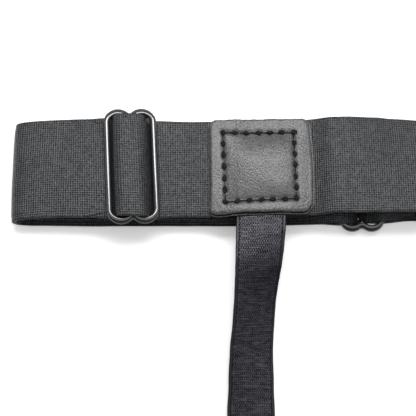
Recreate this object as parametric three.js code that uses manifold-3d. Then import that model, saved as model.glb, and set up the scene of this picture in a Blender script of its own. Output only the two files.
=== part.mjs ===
// A shirt stay: a wide elastic thigh band lying flat as a doubled loop, adjusted with two wire slides, and a
// narrow elastic strap sewn between two leather patches that runs down to a shirt clip.
// Millimetres. X runs along the band, Y across it towards its upper edge, Z up from the table.
import * as THREE from "three";
import Module from "manifold-3d";
import { mergeVertices } from "three/addons/utils/BufferGeometryUtils.js";

const wasm = await Module();
wasm.setup();

// Elastic webbing
const BAND_WIDTH = 40;
const BAND_THICK = 1.3;
const STRAP_WIDTH = 20;
const STRAP_THICK = 1.2;
// Clear space kept between two pieces that touch on the real thing
const GAP = 0.3;
// From the middle of one ply of the band to the middle of the ply laid on it
const PLY = BAND_THICK + GAP;

// Slides of round wire, a figure of eight in plan
const WIRE = 2.4;
const FRONT_SLIDE = { x: -30.9, y: 14.8, width: 21.6, length: 47.7, turn: 1.8, tilt: 5.7 };
const BACK_SLIDE = { x: 62.8, y: 14.7, width: 18.2, length: 47.7, turn: 0, tilt: 0 };

// Leather patches
const FRONT_PATCH = { x: 21.6, y: 15, width: 41, height: 38.6, thick: 2, turn: 1.6 };
const BACK_PATCH = { x: 20.8, y: 12.2, width: 41, height: 38.6, thick: 1.6, turn: 2.8 };
const PATCH_CORNER = 3.5;

// Height of the middle of the ply on the table, and of the front ply on either side of the front slide
const TABLE_PLY = BAND_THICK / 2;
const LEFT_OF_SLIDE = 12.9;
const RIGHT_OF_SLIDE = 11;

// The middle of the band's width, in the front slide and on the table
const SLIDE_Y = 14.9;
const BACK_Y = 13.7;

// The two folds where the loop turns over
const LEFT_NOSE = -79.8;
const RIGHT_NOSE = 140;

// Shares of the band's width: where it lies slack, where it is drawn tight, where it passes through the front
// slide, and where a wire gathers an end of it
const SLACK = 1.02;
const STRETCHED = 0.99;
const IN_SLIDE = 0.985;
const GATHERED = 0.95;

// How far a sewn end runs past its slide's bar
const SEWN_TAIL = 14;

// A clip that grips the shirt, one plain piece
const CLIP = { x: 17, bar_y: -104, width: 24, length: 40, bar: 2.4, slot_width: 21.4, slot: 4.6 };

// Webbing bends round a wire with a little more air, because a slide's wire curves in at its ends
const BEND_GAP = 0.5;

// Distance from a wire's middle to the middle of a ply that rides on it, and of one that rides on that ply
const ON_WIRE = WIRE / 2 + BEND_GAP + BAND_THICK / 2;
const ON_PLY = ON_WIRE + PLY;

// Height of each slide's middle wire
const FRONT_WIRE = (LEFT_OF_SLIDE + RIGHT_OF_SLIDE) / 2 + ON_WIRE;
const BACK_WIRE = TABLE_PLY + ON_WIRE;

// Half the distance between the middles of a slide's two side wires
const reachOf = (slide) => (slide.width - WIRE) / 2;

const radians = THREE.MathUtils.degToRad;

// A station of a strip: the middle of the strip at x, y, z. lean lifts the edge its cross line points to, and
// skew turns that line in plan, both in degrees. across is the strip's width there, as a share.
const station = (x, y, z, { lean = 0, skew = 0, across = 1 } = {}) => ({ x, y, z, lean, skew, across });

// Stations round a bar: an arc in the side view, from one angle to another, anticlockwise when it grows.
// It has a short straight lead at each end, so that the run beside it starts straight on.
function round({ x, z, radius, from, to, y, skew = 0, across = 1, step = 22.5, lead = 1.5 }) {
  const count = Math.max(1, Math.round(Math.abs(to - from) / step));
  const way = Math.sign(to - from);
  const at = (degrees, ahead) => {
    const angle = radians(degrees);
    return station(
      x + radius * Math.cos(angle) - ahead * way * Math.sin(angle),
      y,
      z + radius * Math.sin(angle) + ahead * way * Math.cos(angle),
      { skew, across },
    );
  };
  const arc = Array.from({ length: count + 1 }, (_, i) => at(from + ((to - from) * i) / count, 0));
  return [at(from, -lead), ...arc, at(to, lead)];
}

// The same run, one ply further in: moved to the right of its own direction in the side view, and run
// backwards.
function plyInside(stations, distance) {
  const moved = stations.map((at, i) => {
    const before = stations[Math.max(0, i - 1)];
    const after = stations[Math.min(stations.length - 1, i + 1)];
    const dx = after.x - before.x;
    const dz = after.z - before.z;
    const long = Math.hypot(dx, dz);
    return { ...at, x: at.x + (distance * dz) / long, z: at.z - (distance * dx) / long };
  });
  return moved.reverse();
}

// A smooth curve through the stations, each stretch cut in `parts`, with lean, skew and width carried along.
function along(stations, parts) {
  const middle = new THREE.CatmullRomCurve3(
    stations.map((s) => new THREE.Vector3(s.x, s.y, s.z)),
    false,
    "centripetal",
  );
  const count = (stations.length - 1) * parts;
  return Array.from({ length: count + 1 }, (_, i) => {
    const t = i / count;
    const index = Math.min(stations.length - 2, Math.floor(i / parts));
    const share = THREE.MathUtils.smoothstep(i / parts - index, 0, 1);
    const between = (key) => THREE.MathUtils.lerp(stations[index][key], stations[index + 1][key], share);
    return {
      point: middle.getPoint(t),
      run: middle.getTangent(t),
      lean: between("lean"),
      skew: between("skew"),
      across: between("across"),
    };
  });
}

// A closed strip of webbing: a rectangle of width by thickness carried along the sections.
function webbing(sections, width, thickness, crossLine) {
  const up = new THREE.Vector3(0, 0, 1);
  const corners = [];
  for (const { point, run, lean, skew, across } of sections) {
    const cross = crossLine.clone().applyAxisAngle(up, radians(skew));
    cross.applyAxisAngle(run, radians(lean));
    const face = run.clone().cross(cross).normalize();
    for (const [a, b] of [[-1, -1], [1, -1], [1, 1], [-1, 1]]) {
      const corner = point.clone();
      corner.addScaledVector(cross, (a * width * across) / 2);
      corner.addScaledVector(face, (b * thickness) / 2);
      corners.push(corner);
    }
  }
  const index = [];
  const last = 4 * (sections.length - 1);
  for (let i = 0; i < last; i += 4)
    for (let k = 0; k < 4; k++) {
      const next = (k + 1) % 4;
      index.push(i + k, i + next, i + 4 + next, i + k, i + 4 + next, i + 4 + k);
    }
  index.push(0, 2, 1, 0, 3, 2, last, last + 1, last + 2, last, last + 2, last + 3);
  const geometry = new THREE.BufferGeometry().setFromPoints(corners);
  geometry.setIndex(index);
  return geometry;
}

// The front run of the band, from the front slide to the right fold
const FRONT_RUN = [
  { x: -11, y: 14.7, z: 11.2, lean: 0 },
  { x: 0, y: 14.6, z: 11.5, lean: 0 },
  { x: 14, y: 14.9, z: 11.9, lean: 0 },
  { x: 28, y: 15.2, z: 12.3, lean: 0 },
  { x: 41, y: 15.5, z: 13.1, lean: 0 },
  { x: 50, y: 15.6, z: 14.7, lean: 0 },
  { x: 58, y: 15.6, z: 15.7, lean: -1 },
  { x: 67, y: 15.6, z: 15.5, lean: -3 },
  { x: 76, y: 15.8, z: 14.4, lean: -6.5 },
  { x: 86, y: 15.9, z: 13.4, lean: -8.6 },
  { x: 98, y: 15.8, z: 12.4, lean: -6 },
  { x: 112, y: 15.7, z: 11.7, lean: -2 },
  { x: 124, y: 15.6, z: 11.2, lean: 0 },
].map(({ x, y, z, lean }) => station(x, y, z, { lean, across: STRETCHED }));

// The table run of the band, from the right fold back to the back slide
const TABLE_RUN = [
  { x: 125, y: 15.6 },
  { x: 100, y: 15.6 },
  { x: 84, y: 15.5 },
].map(({ x, y }) => station(x, y, TABLE_PLY));

// Where the band weaves through the front slide: under one side wire, over the middle one, under the other.
// The straight stretch between two wires touches both, and the slide's own tilt adds to it or takes from it.
const FRONT_REACH = reachOf(FRONT_SLIDE);
const WEAVE = THREE.MathUtils.radToDeg(Math.asin((ON_WIRE + ON_PLY) / FRONT_REACH));
const CLIMB = WEAVE - FRONT_SLIDE.tilt;
const DESCENT = WEAVE + FRONT_SLIDE.tilt;
const inFrontSlide = (side, radius, from, to, across) =>
  round({
    x: FRONT_SLIDE.x + side * FRONT_REACH * Math.cos(radians(FRONT_SLIDE.tilt)),
    z: FRONT_WIRE - side * FRONT_REACH * Math.sin(radians(FRONT_SLIDE.tilt)),
    radius,
    from,
    to,
    y: SLIDE_Y,
    skew: FRONT_SLIDE.turn,
    across,
    step: 18,
  });

// The outer ply of the left half: from the back slide along the table, over the left fold, to the front
// slide.
const FOLD_RADIUS = 4.65;
const FOLD = { x: LEFT_NOSE + BAND_THICK / 2 + FOLD_RADIUS, z: TABLE_PLY + FOLD_RADIUS };
const leftHalf = [
  station(44, 14.1, TABLE_PLY),
  station(20, BACK_Y, TABLE_PLY),
  station(-20, BACK_Y, TABLE_PLY),
  station(-55, BACK_Y, TABLE_PLY),
  ...round({ ...FOLD, radius: FOLD_RADIUS, from: -90, to: -250, y: BACK_Y, across: SLACK }).map(
    (at, i, all) => ({ ...at, y: THREE.MathUtils.lerp(BACK_Y, 14.4, i / (all.length - 1)) }),
  ),
  station(-69.5, 14.6, LEFT_OF_SLIDE - 1.9, { across: SLACK }),
  station(-60, 14.8, LEFT_OF_SLIDE - 1.2, { across: SLACK }),
  station(-50, 14.95, LEFT_OF_SLIDE - 0.4, { across: SLACK, skew: FRONT_SLIDE.turn / 2 }),
];

// The sewn end at the front slide: under the inner ply, and round the middle wire.
const sewnEndFront = [
  station(FRONT_SLIDE.x - FRONT_REACH - SEWN_TAIL / 2, SLIDE_Y, LEFT_OF_SLIDE - 2 * PLY, {
    skew: FRONT_SLIDE.turn,
    across: GATHERED,
  }),
  ...inFrontSlide(-1, ON_PLY + PLY, -90, -90 + CLIMB, GATHERED),
  ...inFrontSlide(0, ON_WIRE, -90, 90 + CLIMB, GATHERED),
  ...inFrontSlide(-1, ON_PLY, -90 + CLIMB, -90, GATHERED),
];

// The hook of the band round the back slide's left wire, then the sewn end round its right wire.
const BACK_REACH = reachOf(BACK_SLIDE);
const aroundBackWire = (side, slack, from, to) =>
  round({
    x: BACK_SLIDE.x + side * (BACK_REACH - slack),
    z: BACK_WIRE,
    radius: ON_WIRE,
    from,
    to,
    y: BACK_SLIDE.y,
    across: GATHERED,
  });
const HOOK_SLACK = 2.4;
const hookLeft = [
  station(BACK_SLIDE.x - BACK_REACH - 6, 14.3, BACK_WIRE + ON_WIRE - 1),
  station(BACK_SLIDE.x - BACK_REACH - 1, 14.5, BACK_WIRE + ON_WIRE - 0.1, { across: GATHERED }),
  ...aroundBackWire(-1, HOOK_SLACK, 90, -90),
];
const sewnEndBack = [
  ...aroundBackWire(1, 0, -90, -270),
  station(BACK_SLIDE.x + BACK_REACH + 5, 15.1, TABLE_PLY + PLY + 1),
  station(BACK_SLIDE.x + BACK_REACH + 9, 15.4, TABLE_PLY + PLY),
  station(BACK_SLIDE.x + BACK_REACH + SEWN_TAIL, 15.5, TABLE_PLY + PLY),
];

const RIGHT_RADIUS = (FRONT_RUN.at(-1).z - TABLE_PLY) / 2;
const rightFold = round({
  x: RIGHT_NOSE - BAND_THICK / 2 - RIGHT_RADIUS,
  z: TABLE_PLY + RIGHT_RADIUS,
  radius: RIGHT_RADIUS,
  from: 90,
  to: -90,
  y: 15.6,
});

const bandSections = along(
  [
    ...sewnEndFront,
    ...plyInside(leftHalf, PLY),
    ...hookLeft,
    ...leftHalf,
    ...inFrontSlide(-1, ON_WIRE, -90, -90 + CLIMB, IN_SLIDE),
    ...inFrontSlide(0, ON_PLY, 90 + CLIMB, 90 - DESCENT, IN_SLIDE),
    ...inFrontSlide(1, ON_WIRE, -90 - DESCENT, -90, IN_SLIDE),
    ...FRONT_RUN,
    ...rightFold,
    ...TABLE_RUN,
    ...sewnEndBack,
  ],
  2,
);

// The height of the middle of the front ply at x, for what is sewn on it.
const frontLine = new THREE.SplineCurve(FRONT_RUN.map(({ x, z }) => new THREE.Vector2(x, z))).getPoints(200);
function frontHeight(x) {
  const i = Math.max(1, frontLine.findIndex((p) => p.x >= x));
  const [a, b] = [frontLine[i - 1], frontLine[i]];
  return THREE.MathUtils.lerp(a.y, b.y, (x - a.x) / (b.x - a.x));
}

// The narrow strap: from under the front patch, off the band's lower edge, down to the table, round the clip.
const STRAP_X = 21.2;
const strapOnBand = (x) => frontHeight(x) + BAND_THICK / 2 + GAP + STRAP_THICK / 2;
const bandSlope = THREE.MathUtils.radToDeg(Math.atan((frontHeight(31) - frontHeight(11)) / 20));
const STRAP_TOP = 26;
const STRAP_ON_TABLE = STRAP_THICK / 2 + 0.1;
const CLIP_RADIUS = CLIP.bar / 2 + BEND_GAP + STRAP_THICK / 2;
const CLIP_Z = STRAP_ON_TABLE + CLIP_RADIUS;
const STRAP_RUN = [
  { x: STRAP_X, y: STRAP_TOP, z: strapOnBand(STRAP_X), lean: bandSlope, across: 1 },
  { x: STRAP_X, y: 12, z: strapOnBand(STRAP_X), lean: bandSlope, across: 1 },
  { x: STRAP_X, y: -4, z: strapOnBand(STRAP_X), lean: bandSlope, across: 1 },
  { x: 21, y: -9, z: 13.6, lean: 0, across: 0.99 },
  { x: 20.4, y: -16, z: 11.8, lean: -7, across: 0.96 },
  { x: 19.7, y: -25, z: 8.7, lean: -15, across: 0.93 },
  { x: 18.8, y: -34, z: 6.3, lean: -21, across: 0.9 },
  { x: 17.9, y: -46, z: 4.9, lean: -21, across: 0.9 },
  { x: 17.1, y: -58, z: 4.1, lean: -16, across: 0.91 },
  { x: 16.9, y: -71, z: 3.3, lean: -11, across: 0.93 },
  { x: 16.9, y: -83, z: 2.9, lean: -6, across: 0.95 },
  { x: 17, y: -93, z: 2.6, lean: 0, across: 1 },
];
const strapStations = [
  ...STRAP_RUN.map(({ x, y, z, lean, across }) => station(x, y, z, { lean, across })),
  ...Array.from({ length: 9 }, (_, i) => {
    const angle = radians(90 + 22.5 * i);
    return station(
      CLIP.x,
      CLIP.bar_y + CLIP_RADIUS * Math.cos(angle),
      CLIP_Z + CLIP_RADIUS * Math.sin(angle),
    );
  }),
  station(CLIP.x, CLIP.bar_y + SEWN_TAIL / 2, STRAP_ON_TABLE),
  station(CLIP.x, CLIP.bar_y + SEWN_TAIL, STRAP_ON_TABLE),
];

// A figure of eight in wire: two stadiums side by side, sharing the middle wire, with a round section.
function wireSlide({ width, length }) {
  const lobe = (width - WIRE) / 4;
  const straight = (length - WIRE) / 2 - lobe;
  const outer = lobe + WIRE / 2;
  const notch = Math.acos(lobe / outer);
  const outline = new THREE.Shape();
  outline.absarc(-lobe, straight, outer, notch, Math.PI, false);
  outline.absarc(-lobe, -straight, outer, Math.PI, 2 * Math.PI - notch, false);
  outline.absarc(lobe, -straight, outer, Math.PI + notch, 2 * Math.PI, false);
  outline.absarc(lobe, straight, outer, 0, Math.PI - notch, false);
  for (const side of [-1, 1]) {
    const inner = lobe - WIRE / 2;
    const window = new THREE.Path();
    window.absarc(side * lobe, straight, inner, 0, Math.PI, false);
    window.absarc(side * lobe, -straight, inner, Math.PI, 2 * Math.PI, false);
    outline.holes.push(window);
  }
  const rounding = WIRE / 2 - 0.1;
  const geometry = new THREE.ExtrudeGeometry(outline, {
    depth: WIRE - 2 * rounding,
    bevelThickness: rounding,
    bevelSize: rounding,
    bevelOffset: -rounding,
    bevelSegments: 3,
    curveSegments: 10,
  });
  return geometry.translate(0, 0, -WIRE / 2 + rounding);
}

// A leather square with round corners, laid over what lifts it: lift gives the height of its underside at a
// place of the part.
function leather(patch, lift) {
  const { width, height, thick, turn } = patch;
  const geometry = new THREE.BoxGeometry(width, height, thick, 16, 16, 1);
  const place = geometry.getAttribute("position");
  const spot = new THREE.Vector3();
  const inner = new THREE.Vector2(width / 2 - PATCH_CORNER, height / 2 - PATCH_CORNER);
  for (let i = 0; i < place.count; i++) {
    spot.fromBufferAttribute(place, i);
    const over = new THREE.Vector2(
      Math.max(0, Math.abs(spot.x) - inner.x),
      Math.max(0, Math.abs(spot.y) - inner.y),
    );
    if (over.x > 0 && over.y > 0) {
      const pull = Math.max(over.x, over.y) / over.length();
      spot.x = Math.sign(spot.x) * (inner.x + over.x * pull);
      spot.y = Math.sign(spot.y) * (inner.y + over.y * pull);
    }
    const upper = spot.z > 0;
    spot.applyAxisAngle(new THREE.Vector3(0, 0, 1), radians(turn));
    spot.x += patch.x;
    spot.y += patch.y;
    spot.z = lift(spot.x, spot.y) + (upper ? thick : 0);
    place.setXYZ(i, spot.x, spot.y, spot.z);
  }
  return geometry;
}

// How much the strap under the front patch lifts the leather: full over the strap, none past its edges.
const SLOPE_WIDTH = 3.2;
function strapLift(x, y) {
  const beside = Math.abs(x - STRAP_X) - STRAP_WIDTH / 2 - 4 * GAP;
  const above = y - STRAP_TOP - 4 * GAP;
  const away = Math.max(beside, above);
  return (STRAP_THICK + GAP) * (1 - THREE.MathUtils.smoothstep(away, 0, SLOPE_WIDTH));
}
const bandTop = (x) => frontHeight(x) + BAND_THICK / 2;
const frontLift = (x, y) => bandTop(x) + GAP + strapLift(x, y);
const CORNER_CURL = 1.2;
function backLift(x, y) {
  const right = THREE.MathUtils.smoothstep(x, 30, 44);
  const low = 1 - THREE.MathUtils.smoothstep(y, -8, -4.6);
  return frontHeight(x) - BAND_THICK / 2 - GAP - BACK_PATCH.thick + CORNER_CURL * right * low;
}

// The clip: a plate with a slot for the strap that thickens to two closed jaws, seen from the side as y, z.
function solid(geometry) {
  const bare = geometry.index ? geometry.toNonIndexed() : geometry.clone();
  bare.deleteAttribute("normal");
  bare.deleteAttribute("uv");
  const merged = mergeVertices(bare, 1e-4);
  return new wasm.Manifold(
    new wasm.Mesh({
      numProp: 3,
      vertProperties: merged.getAttribute("position").array,
      triVerts: new Uint32Array(merged.index.array),
    }),
  );
}
function geometryOf(made) {
  const mesh = made.getMesh();
  const geometry = new THREE.BufferGeometry();
  geometry.setAttribute("position", new THREE.BufferAttribute(mesh.vertProperties, 3));
  return geometry.setIndex(new THREE.BufferAttribute(mesh.triVerts, 1));
}
function shirtClip() {
  const half = CLIP.bar / 2;
  const end = -CLIP.length;
  const side = new THREE.Shape();
  side.absarc(0, 0, half, -Math.PI / 2, Math.PI / 2, false);
  side.lineTo(-9, half);
  side.bezierCurveTo(-13, half, -14, 3.4, -19, 3.4);
  side.bezierCurveTo(-28, 3.4, -34, 1.8, end, 0.9);
  side.lineTo(end, -CLIP_Z);
  side.lineTo(-14, -CLIP_Z);
  side.bezierCurveTo(-12, -CLIP_Z, -12, -half, -9, -half);
  const body = new THREE.ExtrudeGeometry(side, {
    depth: CLIP.width - 2,
    bevelThickness: 1,
    bevelSize: 0.6,
    bevelOffset: -0.6,
    bevelSegments: 2,
    curveSegments: 8,
  });
  body.translate(0, 0, 1 - CLIP.width / 2);
  body.rotateY(Math.PI / 2);
  body.rotateX(Math.PI / 2);
  const slot = new THREE.BoxGeometry(CLIP.slot_width, CLIP.slot, 4 * CLIP.bar);
  slot.translate(0, -0.7 * half - CLIP.slot / 2, 0);
  return geometryOf(solid(body).subtract(solid(slot)));
}

const finishes = {
  band_elastic: { color: 0x45484b, roughness: 0.9, metalness: 0 },
  strap_elastic: { color: 0x3c3d42, roughness: 0.85, metalness: 0 },
  leather: { color: 0x68696a, roughness: 0.55, metalness: 0 },
  black_wire: { color: 0x0d0d0f, roughness: 0.12, metalness: 0.3 },
  clip_black: { color: 0x151517, roughness: 0.35, metalness: 0 },
};

const stay = new THREE.Group();
function piece(name, geometry, finish, { x = 0, y = 0, z = 0, turn = 0, tilt = 0 } = {}) {
  const mesh = new THREE.Mesh(geometry, new THREE.MeshStandardMaterial(finishes[finish]));
  mesh.name = name;
  mesh.position.set(x, y, z);
  mesh.rotation.set(0, radians(tilt), radians(turn));
  stay.add(mesh);
}

const acrossBand = new THREE.Vector3(0, 1, 0);
const acrossStrap = new THREE.Vector3(1, 0, 0);
piece("thigh_band", webbing(bandSections, BAND_WIDTH, BAND_THICK, acrossBand), "band_elastic");
piece("front_slide", wireSlide(FRONT_SLIDE), "black_wire", { ...FRONT_SLIDE, z: FRONT_WIRE });
piece("back_slide", wireSlide(BACK_SLIDE), "black_wire", { ...BACK_SLIDE, z: BACK_WIRE });
piece("patch_front", leather(FRONT_PATCH, frontLift), "leather");
piece("patch_back", leather(BACK_PATCH, backLift), "leather");
piece(
  "clip_strap",
  webbing(along(strapStations, 2), STRAP_WIDTH, STRAP_THICK, acrossStrap),
  "strap_elastic",
);
piece("shirt_clip", shirtClip(), "clip_black", { x: CLIP.x, y: CLIP.bar_y, z: CLIP_Z });

// The origin is the middle of the whole stay, on the table.
const whole = new THREE.Box3().setFromObject(stay);
const middle = whole.getCenter(new THREE.Vector3());
stay.position.set(-middle.x, -middle.y, -whole.min.z);

export default stay;
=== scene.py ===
# %% [markdown]
# # A shirt stay, dressed for the camera
#
# A shirt stay is a garter for the thigh: a wide elastic band that two wire slides let out or take in, a
# leather patch on each face of it, and a narrow elastic strap that runs down to a clip for the shirt's
# hem. Here it lies flattened on a white table, as a loop of cloth does when nobody wears it.
#
# The packed model is the fixed frame: it says where each piece is and how big. It could be dressed by
# hand in Blender's editor, but a script makes the same stay each time it runs, and each number in it can
# be changed. Each cell below makes one piece or one finish at its place in the frame, and prints what it
# made.

# %% Load the packed frame
import math
from collections import namedtuple

import bmesh
import bpy
from mathutils import Matrix, Vector, noise


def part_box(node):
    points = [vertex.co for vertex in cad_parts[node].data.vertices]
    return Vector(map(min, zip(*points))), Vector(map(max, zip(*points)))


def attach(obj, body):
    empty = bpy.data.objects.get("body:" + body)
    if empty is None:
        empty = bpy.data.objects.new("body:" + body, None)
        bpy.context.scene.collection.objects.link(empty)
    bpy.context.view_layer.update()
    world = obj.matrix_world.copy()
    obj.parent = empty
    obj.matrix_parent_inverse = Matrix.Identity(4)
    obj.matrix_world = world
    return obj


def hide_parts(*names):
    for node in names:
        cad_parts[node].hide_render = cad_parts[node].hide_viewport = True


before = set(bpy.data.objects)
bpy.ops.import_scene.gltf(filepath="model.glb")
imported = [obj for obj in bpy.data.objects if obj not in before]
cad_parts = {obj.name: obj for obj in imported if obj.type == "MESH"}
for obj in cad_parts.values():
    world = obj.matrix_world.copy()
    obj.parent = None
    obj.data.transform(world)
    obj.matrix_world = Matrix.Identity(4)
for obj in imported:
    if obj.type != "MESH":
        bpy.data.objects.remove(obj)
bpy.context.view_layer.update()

MM = 0.001
print("nodes:", sorted(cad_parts))

# %% [markdown]
# ## Chance that repeats
#
# Cloth ripples, leather waves and thread lies unevenly, and the pieces take that from noise.
# `noise.noise` gives one value for each place, so it repeats by itself. `noise.noise_vector` starts from
# the clock unless it gets a seed, and then no two runs would be alike. The band, the strap and the leather
# take different layers of the noise, so that they don't wave together.

# %% Noise
SEED = 4
noise.seed_set(SEED)


def ripple(x, y, layer, long):
    """Noise from -1 to 1, with waves about long mm long."""
    return noise.noise(Vector((x, y, layer)) / long)


print("one ripple:", [round(ripple(x, 0, 0, 10), 2) for x in range(1, 10, 2)])

# %% [markdown]
# ## One origin for every measure
#
# The band, the strap and the patches were measured from the point of the table in the middle of the
# picture. Those measures are in millimetres, and Blender works in metres from the frame's own origin. Each
# number could be turned by hand into the frame's, but then none could be checked against the picture. The
# back slide is at a known place in both, so the step from one to the other is read off it once.

# %% From the picture's middle to the frame
BACK_SLIDE_PLACE = Vector((62.8, 14.7, 3.0))
low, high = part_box("back_slide")
SHIFT = (low + high) / 2 - BACK_SLIDE_PLACE * MM


def place(x, y, z):
    """A measured place, in mm, as a place in the frame."""
    return Vector((x, y, z)) * MM + SHIFT


print("the picture's middle lies at", [round(c / MM, 2) for c in SHIFT])

# %% [markdown]
# ## The camera
#
# The picture was taken from over the table and a little from the near side, so that the near edges show.
# How fast the parallel edges close in gives the distance, and how much of the near edges shows gives the
# tilt. A constraint that looks at an empty could aim the camera. But a camera looks down its own -Z, so
# one turn about X is enough.

# %% Camera
EYE_DISTANCE = 450
EYE_TILT = math.radians(14.5)
AIM_HEIGHT = 5
SENSOR = 36
# Focal length as a share of the picture's width
FOCAL_SHARE = 2.659
NEAREST = 10

camera = bpy.data.objects.new("camera", bpy.data.cameras.new("camera"))
camera.data.sensor_width = SENSOR
camera.data.lens = FOCAL_SHARE * SENSOR
camera.data.clip_start = NEAREST * MM
camera.location = place(
    0,
    -EYE_DISTANCE * math.sin(EYE_TILT),
    AIM_HEIGHT + EYE_DISTANCE * math.cos(EYE_TILT),
)
camera.rotation_euler = (EYE_TILT, 0, 0)
bpy.context.scene.collection.objects.link(camera)
bpy.context.scene.camera = camera
print("lens", round(camera.data.lens, 1), "mm")

# %% [markdown]
# ## Webbing that follows a route
#
# Elastic webbing nearly keeps its width and bends easily only one way, so a strip of it is known by its
# middle line and by the way its cross line points. A curve object with a bevel would turn the strip over
# in tight bends, and cloth physics wouldn't keep it on the wires. So the route is a short table of
# stations, and a centripetal Catmull-Rom curve runs through them: unlike the uniform one it makes no
# loops where two stations are close. The cross line and the width go from station to station in soft
# steps.

# %% A soft step


def smoothstep(value, start, end):
    """From 0 at start to 1 at end, level at both."""
    share = min(1, max(0, (value - start) / (end - start)))
    return share * share * (3 - 2 * share)


print("soft step:", [round(smoothstep(x, 0, 4), 2) for x in range(5)])

# %% Stations, and the curve through them
# lean turns the cross line about the route and skew about the vertical, in degrees. across is the cloth's
# width as a share of its flat width
Station = namedtuple("Station", "x y z lean skew across", defaults=(0, 0, 1))
Section = namedtuple("Section", "point run cross face across reached")
SHORTEST = 1e-4


def hermite(p0, p1, p2, p3, share):
    """Place and direction on the centripetal curve from p1 to p2, with p0 before them and p3 after."""
    d0, d1, d2 = [max(SHORTEST, (b - a).length ** 0.5) for a, b in ((p0, p1), (p1, p2), (p2, p3))]
    leave = ((p1 - p0) / d0 - (p2 - p0) / (d0 + d1) + (p2 - p1) / d1) * d1
    arrive = ((p2 - p1) / d1 - (p3 - p1) / (d1 + d2) + (p3 - p2) / d2) * d1
    square = -3 * p1 + 3 * p2 - 2 * leave - arrive
    cube = 2 * p1 - 2 * p2 + leave + arrive
    point = p1 + share * (leave + share * (square + share * cube))
    run = leave + share * (2 * square + 3 * share * cube)
    return point, run.normalized()


def along(stations, cross_line, longest, turn):
    """Sections through the stations, none longer than longest mm or bent more than turn degrees."""
    points = [Vector((s.x, s.y, s.z)) for s in stations]
    points = [2 * points[0] - points[1], *points, 2 * points[-1] - points[-2]]
    sections = []
    reached = 0
    for i in range(len(stations) - 1):
        corner = points[i : i + 4]
        _, start = hermite(*corner, 0)
        _, end = hermite(*corner, 1)
        cuts = max(
            math.ceil((corner[2] - corner[1]).length / longest),
            math.ceil(math.degrees(start.angle(end)) / turn),
            1,
        )
        last = i == len(stations) - 2
        for k in range(cuts + 1 if last else cuts):
            point, run = hermite(*corner, k / cuts)
            share = smoothstep(k / cuts, 0, 1)
            lean, skew, across = [a + (b - a) * share for a, b in zip(stations[i][3:], stations[i + 1][3:])]
            cross = Matrix.Rotation(math.radians(skew), 3, "Z") @ cross_line
            cross = Matrix.Rotation(math.radians(lean), 3, run) @ cross
            if sections:
                reached += (point - sections[-1].point).length
            sections.append(Section(point, run, cross, run.cross(cross).normalized(), across, reached))
    return sections


straight = [Station(x, 0, 0) for x in (0, 10, 20)]
print("20 mm straight on takes", len(along(straight, Vector((0, 1, 0)), longest=2, turn=7)), "sections")

# %% [markdown]
# ## A strip of cloth on the sections
#
# A grid from `bmesh.ops.create_grid` has one row for each section. Each row is moved to its section, and
# the UV map holds where each point lies on the flat cloth, in metres, so that the weave follows every
# bend. The thickness is left to a Solidify modifier, which keeps the mesh light and both faces alike, and
# a Bevel modifier rounds the selvedges.

# %% Strips
SELVEDGE_ROUND = 0.35
SHARP = math.radians(60)


def strip(sections, width, columns, shape):
    """A grid on the sections. shape gives how far the cloth stands off its middle and off its line."""
    mesh = bmesh.new()
    rows = len(sections)
    bmesh.ops.create_grid(mesh, x_segments=rows - 1, y_segments=columns, size=0.5)
    cloth = mesh.loops.layers.uv.new("cloth")
    spots = {}
    for vert in mesh.verts:
        at = sections[round((vert.co.x + 0.5) * (rows - 1))]
        side = vert.co.y * width
        spots[vert] = (at.reached * MM, side * MM)
        rise, drift = shape(at, side)
        vert.co = at.point + at.cross * (side * at.across + drift) + at.face * rise
        vert.co = place(*vert.co)
    for face in mesh.faces:
        for loop in face.loops:
            loop[cloth].uv = spots[loop.vert]
    return mesh


def modifier(made, kind, **settings):
    added = made.modifiers.new(kind.lower(), kind)
    for key, value in settings.items():
        setattr(added, key, value)


def thickened(made, thick):
    modifier(made, "SOLIDIFY", thickness=thick * MM, offset=0)
    modifier(made, "BEVEL", width=SELVEDGE_ROUND * MM, segments=2, limit_method="ANGLE", angle_limit=SHARP)


print("selvedges are rounded over", SELVEDGE_ROUND, "mm")

# %% [markdown]
# ## The band's route
#
# The band is one strip. Its first end is sewn round the front slide's middle wire. It runs left as the
# inner ply, turns at the left fold, runs right to the back slide and hooks round that slide's left wire.
# It comes back on the table as the outer ply, round the left fold again. It weaves through the front
# slide, passes between the patches and over the back slide, turns at the right fold, and its second end
# is sewn round the back slide's right wire.
#
# Where it goes round a wire or a fold, the stations are an arc, so that a bend needs only its middle,
# radius and two angles. The inner ply is the outer one moved in by one ply and run backwards, so the two
# can't cross.

# %% Sizes of the band and its slides
BAND_WIDTH = 40
BAND_THICK = 1.3
# From the middle of one ply to the middle of the next, where they lie on each other
PLY = 1.6
WIRE = 2.6
# turn is in the table's plane and tilt about the slide's length, in degrees. saddle is the inner radius
# of the bent wire that bridges the notch at each end
Slide = namedtuple("Slide", "x y width length turn tilt saddle")
FRONT_SLIDE = Slide(x=-30.8, y=15.15, width=21.5, length=48.35, turn=3.0, tilt=5.7, saddle=2.0)
BACK_SLIDE = Slide(x=62.6, y=14.5, width=18.4, length=48.0, turn=0, tilt=0, saddle=2.8)


def reach_of(slide):
    """From a slide's middle to the middle of its outer wires."""
    return (slide.width - WIRE) / 2


FRONT_REACH = reach_of(FRONT_SLIDE)
BACK_REACH = reach_of(BACK_SLIDE)
print("outer wires", FRONT_REACH, "and", round(BACK_REACH, 2), "mm from the middles")

# %% Arcs round a bar, and the ply inside another


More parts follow.
